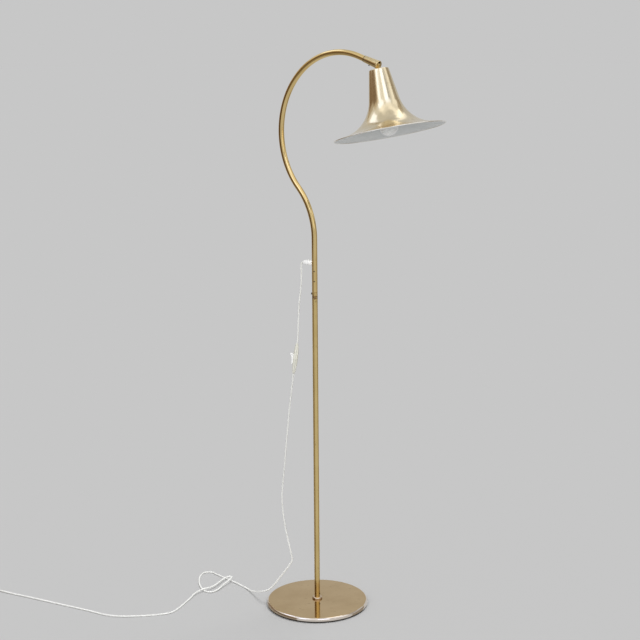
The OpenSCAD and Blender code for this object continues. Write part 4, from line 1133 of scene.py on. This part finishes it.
def add_grip():
    """The white grip where the cord leaves the neck, with its clamping screw on top."""
    start = TUBE_R + GRIP_GAP
    outline = [(GRIP_ROOT_R, TUBE_R - GRIP_ROOT_LEN), (GRIP_ROOT_R, start)]
    outline += [(GRIP_R - GRIP_EASE, start), (GRIP_R, start + GRIP_EASE)]
    for at in GRIP_GROOVES:
        outline += [(radius, start + at + go) for radius, go in GRIP_GROOVE]
    nose = (GRIP_WAIST_R - GRIP_NOSE_R, GRIP_TIP - GRIP_NOSE_R)
    outline += [(GRIP_R, GRIP_TIP - GRIP_TAPER), *arc(nose, GRIP_NOSE_R, 0, math.pi / 2, 6)]
    outline.append((CORD_D / 2, GRIP_TIP))
    place = facing((0, 0, EXIT_Z), (-1, 0, 0))
    shape = lathe_shape(outline, segments=48)
    add_piece("ringed_cord_grip", shape, place, GRIP_WHITE, "white_plastic", "neck", "cord_grip")
    screw = screw_shape(GRIP_SCREW_R, GRIP_SCREW_SHANK, GRIP_SCREW_R, GRIP_SCREW_HEAD)
    place = facing((-GRIP_SCREW_AT, 0, EXIT_Z + GRIP_R - GRIP_SCREW_SINK), (0, 0, 1))
    add_piece("slotted_grip_screw", screw, place, GRIP_WHITE, "white_plastic", "neck", "grip_screw")


add_base()
add_guide_ring()
add_screws()
add_sleeve()
add_tilt_pin()
add_tongue()
add_grip()


# Shade
SHADE_SEGMENTS = 160


def shade_side(wall):
    """The shade's side as (radius, distance from the top), moved inwards by a wall."""
    rise = FLARE_R * (math.sin(SHADE_BRIM) - math.sin(SHADE_CONE))
    spread = FLARE_R * (math.cos(SHADE_CONE) - math.cos(SHADE_BRIM))
    straight = SHADE_R - SHADE_TOP_R - spread
    cone_len = SHADE_H - rise - straight / math.tan(SHADE_BRIM)
    cone_len /= 1 - math.tan(SHADE_CONE) / math.tan(SHADE_BRIM)
    cone_end = SHADE_TOP_R + cone_len * math.tan(SHADE_CONE)
    edge = SHADE_EDGE_R - wall
    middle = (SHADE_TOP_R - SHADE_EDGE_R, SHADE_EDGE_R)
    side = arc(middle, edge, -math.pi / 2, -SHADE_CONE, 8)
    flare = (cone_end + FLARE_R * math.cos(SHADE_CONE), cone_len - FLARE_R * math.sin(SHADE_CONE))
    curve = arc(flare, FLARE_R + wall, math.pi - SHADE_CONE, math.pi - SHADE_BRIM, 24)
    rim = (SHADE_R - wall * math.cos(SHADE_BRIM), SHADE_H + wall * math.sin(SHADE_BRIM))
    return [*side, *line(side[-1], curve[0], 12), *curve[1:], *line(curve[-1], rim, 6)]


def add_shade():
    """The bell shade: spun brass outside with a rolled lip in paler brass as a painted highlight, white
    enamel inside greyed as painted shade.
    """
    outside = shade_side(0)
    inside = shade_side(SHADE_WALL)
    lip = (
        (outside[-1][0] + inside[-1][0]) / 2 - LIP_R * math.sin(SHADE_BRIM),
        (outside[-1][1] + inside[-1][1]) / 2 - LIP_R * math.cos(SHADE_BRIM),
    )
    start = SHADE_BRIM - LIP_BACK
    bead = arc(lip, LIP_R, start, start + LIP_SWEEP, 10)
    outline = [(STEM_HOLE_R, 0), *outside[:-1], *bead, *reversed(inside[:-1]), (STEM_HOLE_R, SHADE_WALL)]
    place = head_frame() @ Matrix.Translation((0, 0, SHADE_AT))
    shape = lathe_shape(outline, SHADE_SEGMENTS, closed=True)
    shade = add_piece("bell_shade", shape, place, SHADE_BRASS, "polished_brass", "head", "shade")
    # The enamel inside the bell is greyed as painted shade.
    shade.data.materials.append(SHADED_ENAMEL)
    # The lip's paler brass is a painted highlight.
    shade.data.materials.append(LIP_HIGHLIGHT_BRASS)
    lip_row = len(outside)
    inside_row = lip_row + len(bead) - 1
    for face in shade.data.polygons:
        row = face.index // SHADE_SEGMENTS
        if lip_row <= row < inside_row:
            face.material_index = 2
        elif inside_row <= row <= inside_row + len(inside):
            face.material_index = 1


add_shade()


# Finish of the nodes that keep their own shape
FINISHES = {
    FITTING_BRASS: (
        "neck_bush", "slide_rod", "foot_plug", "stem_nut", "stem_washer", "holder_contact", "holder_thread",
        "switch_contacts",
    ),
    IRON: ("base_weight",),
    STEEL: ("base_bolt", "base_washer", "bulb_cap", "rocker_pin"),
    DARK_STEEL: ("rod_stop",),
    IVORY: ("holder_cap", "holder_skirt"),
    INSERT_WHITE: ("holder_insert",),
    OPAL: ("bulb_glass",),
}
for finish, names in FINISHES.items():
    for name in names:
        dress(nodes[name], finish)


# Stage: even grey floor and surroundings, and cards round the lamp that show in its polish
SURROUND = 0.571
FLOOR_GREY = 0.68
FLOOR_HALF = 150
SUN_STRENGTH = 0.95
SUN_ANGLE = math.radians(25)
SUN_AT = (0, 0, 3)
SUN_AIM = (0.1, -0.5, -1)
FRONT_POWER = 54
FRONT_SIZE = 1.8
FRONT_AT = (1.7, -2.4, 2.2)
FRONT_AIM = (-1.2, 1.6, -0.9)
CARD_AWAY = 3.4
CARD_CENTRE = Vector((0.221, 0, 1.28))
CARD_STEPS = 10
MATT = {"Roughness": 1.0, "Specular_IOR_Level": 0.0}

# Each card: its turns to the camera's right, angles above the level, brightness, and colour if not white
WHITE = (1.0, 1.0, 1.0)
COOL = (0.76, 0.82, 1.0)
WARM = (1.0, 0.88, 0.72)
BROWN = (1.0, 0.70, 0.45)
CARDS = {
    "low_left_card": ((-150, -50), (-50, -14), 0.28, WARM),
    "dark_left_card": ((-112, -48), (-14, 4), 0.11, BROWN),
    "far_dark_card": ((-146, -112), (-14, 4), 0.22, BROWN),
    "brown_left_card": ((-146, -50), (4, 12), 0.25, BROWN),
    "low_right_card": ((84, 130), (-50, 8), 0.30, WARM),
    "front_low_card": ((-6, 44), (2, 20), 0.92),
    "far_left_card": ((-146, -98), (12, 24), 0.50, WARM),
    "far_left_haze": ((-150, -98), (24, 34), 0.75),
    "far_left_box": ((-146, -106), (34, 52), 1.85, COOL),
    "far_left_high_card": ((-152, -98), (52, 76), 0.66),
    "left_low_card": ((-98, -62), (12, 23), 0.23, BROWN),
    "left_card": ((-98, -68), (23, 35), 0.60, WARM),
    "left_haze": ((-104, -74), (35, 58), 0.78),
    "left_edge_card": ((-68, -54), (17, 30), 0.72, WARM),
    "left_box": ((-54, -33), (20, 34), 1.9, COOL),
    "left_high_box": ((-70, -22), (34, 50), 1.9, COOL),
    "left_top_card": ((-78, -36), (50, 66), 1.20),
    "middle_card": ((-33, -2), (22, 34), 0.86),
    "middle_high_card": ((-22, 0), (34, 50), 0.92),
    "right_box": ((-2, 30), (24, 43), 2.1, COOL),
    "right_high_box": ((0, 45), (43, 52), 1.6, COOL),
    "right_line_card": ((30, 46), (20, 42), 0.40),
    "right_card": ((46, 64), (20, 54), 0.74),
    "right_glow": ((64, 90), (20, 36), 1.04),
    "right_high_glow": ((64, 106), (36, 54), 1.04),
    "dark_right_card": ((90, 136), (20, 36), 0.36, WARM),
    "dark_high_card": ((106, 138), (36, 53), 0.44, WARM),
    "edge_card": ((144, 166), (8, 32), 0.55),
    "edge_high_card": ((142, 178), (43, 53), 1.15),
    "high_front_card": ((-36, 48), (52, 65), 1.06),
    "high_right_card": ((48, 114), (54, 65), 0.90),
    "high_right_box": ((114, 166), (53, 66), 1.7),
    "upper_left_card": ((-98, 10), (66, 76), 0.88),
    "upper_right_card": ((10, 152), (65, 76), 1.16),
    "ceiling_card": ((-180, 180), (76, 89), 0.68),
}


def add_floor():
    """A wide even floor that mirrors don't show."""
    corners = [(x * FLOOR_HALF, y * FLOOR_HALF, 0) for x, y in ((-1, -1), (1, -1), (1, 1), (-1, 1))]
    floor = add_mesh("floor", corners, [(0, 1, 2, 3)])
    grey = (FLOOR_GREY, FLOOR_GREY, FLOOR_GREY, 1)
    paint = Paint("floor_grey", Base_Color=grey, **MATT)
    dress(floor, paint.material)
    floor.visible_glossy = False
    return floor


def add_surround():
    """Even grey all round."""
    world = bpy.data.worlds.new("surround")
    world.use_nodes = True
    world.node_tree.nodes["Background"].inputs["Color"].default_value = (SURROUND, SURROUND, SURROUND, 1)
    scene.world = world


def add_light(name, kind, at, aim):
    """A lamp that mirrors don't show."""
    light = bpy.data.objects.new(name, bpy.data.lights.new(name, kind))
    scene.collection.objects.link(light)
    light.location = at
    light.rotation_euler = Vector(aim).to_track_quat("-Z", "Y").to_euler()
    light.visible_glossy = False
    return light


def add_lights(floor):
    """Light from above and behind, and a broad front light that leaves the floor alone."""
    sun = add_light("sky_light", "SUN", SUN_AT, SUN_AIM)
    sun.data.energy = SUN_STRENGTH
    sun.data.angle = SUN_ANGLE
    front = add_light("front_light", "AREA", FRONT_AT, FRONT_AIM)
    front.data.energy = FRONT_POWER
    front.data.size = FRONT_SIZE
    lit = bpy.data.collections.new("front_light_receivers")
    lit.objects.link(floor)
    front.light_linking.receiver_collection = lit
    lit.collection_objects[0].light_linking.link_state = "EXCLUDE"


def card_point(turn, rise):
    """The card ball's point at a turn to the camera's right and an angle above the level, in degrees."""
    angle = CAMERA_TURN - math.pi / 2 + math.radians(turn)
    out = math.cos(math.radians(rise))
    way = Vector((out * math.cos(angle), out * math.sin(angle), math.sin(math.radians(rise))))
    return CARD_CENTRE + CARD_AWAY * way


def add_card(name, turns, rises, glow, colour=WHITE):
    """A curved card that only mirrors see."""
    points = []
    for i in range(CARD_STEPS + 1):
        for j in range(CARD_STEPS + 1):
            turn = turns[0] + (turns[1] - turns[0]) * i / CARD_STEPS
            rise = rises[0] + (rises[1] - rises[0]) * j / CARD_STEPS
            points.append(card_point(turn, rise))
    row = CARD_STEPS + 1
    faces = []
    for i in range(CARD_STEPS):
        for j in range(CARD_STEPS):
            low = i * row + j
            faces.append((low, low + 1, low + row + 1, low + row))
    card = add_mesh(name, points, faces)
    glowing = {"Emission_Strength": glow, "Emission_Color": (*colour, 1)}
    paint = Paint(name, Base_Color=(0, 0, 0, 1), **MATT, **glowing)
    dress(card, paint.material)
    card.visible_camera = False
    card.visible_diffuse = False
    card.visible_shadow = False


def add_stage():
    """The floor, the grey all round, the lights and the cards."""
    floor = add_floor()
    add_surround()
    add_lights(floor)
    for name, card in CARDS.items():
        add_card(name, *card)


add_stage()
scene.view_settings.view_transform = "Standard"
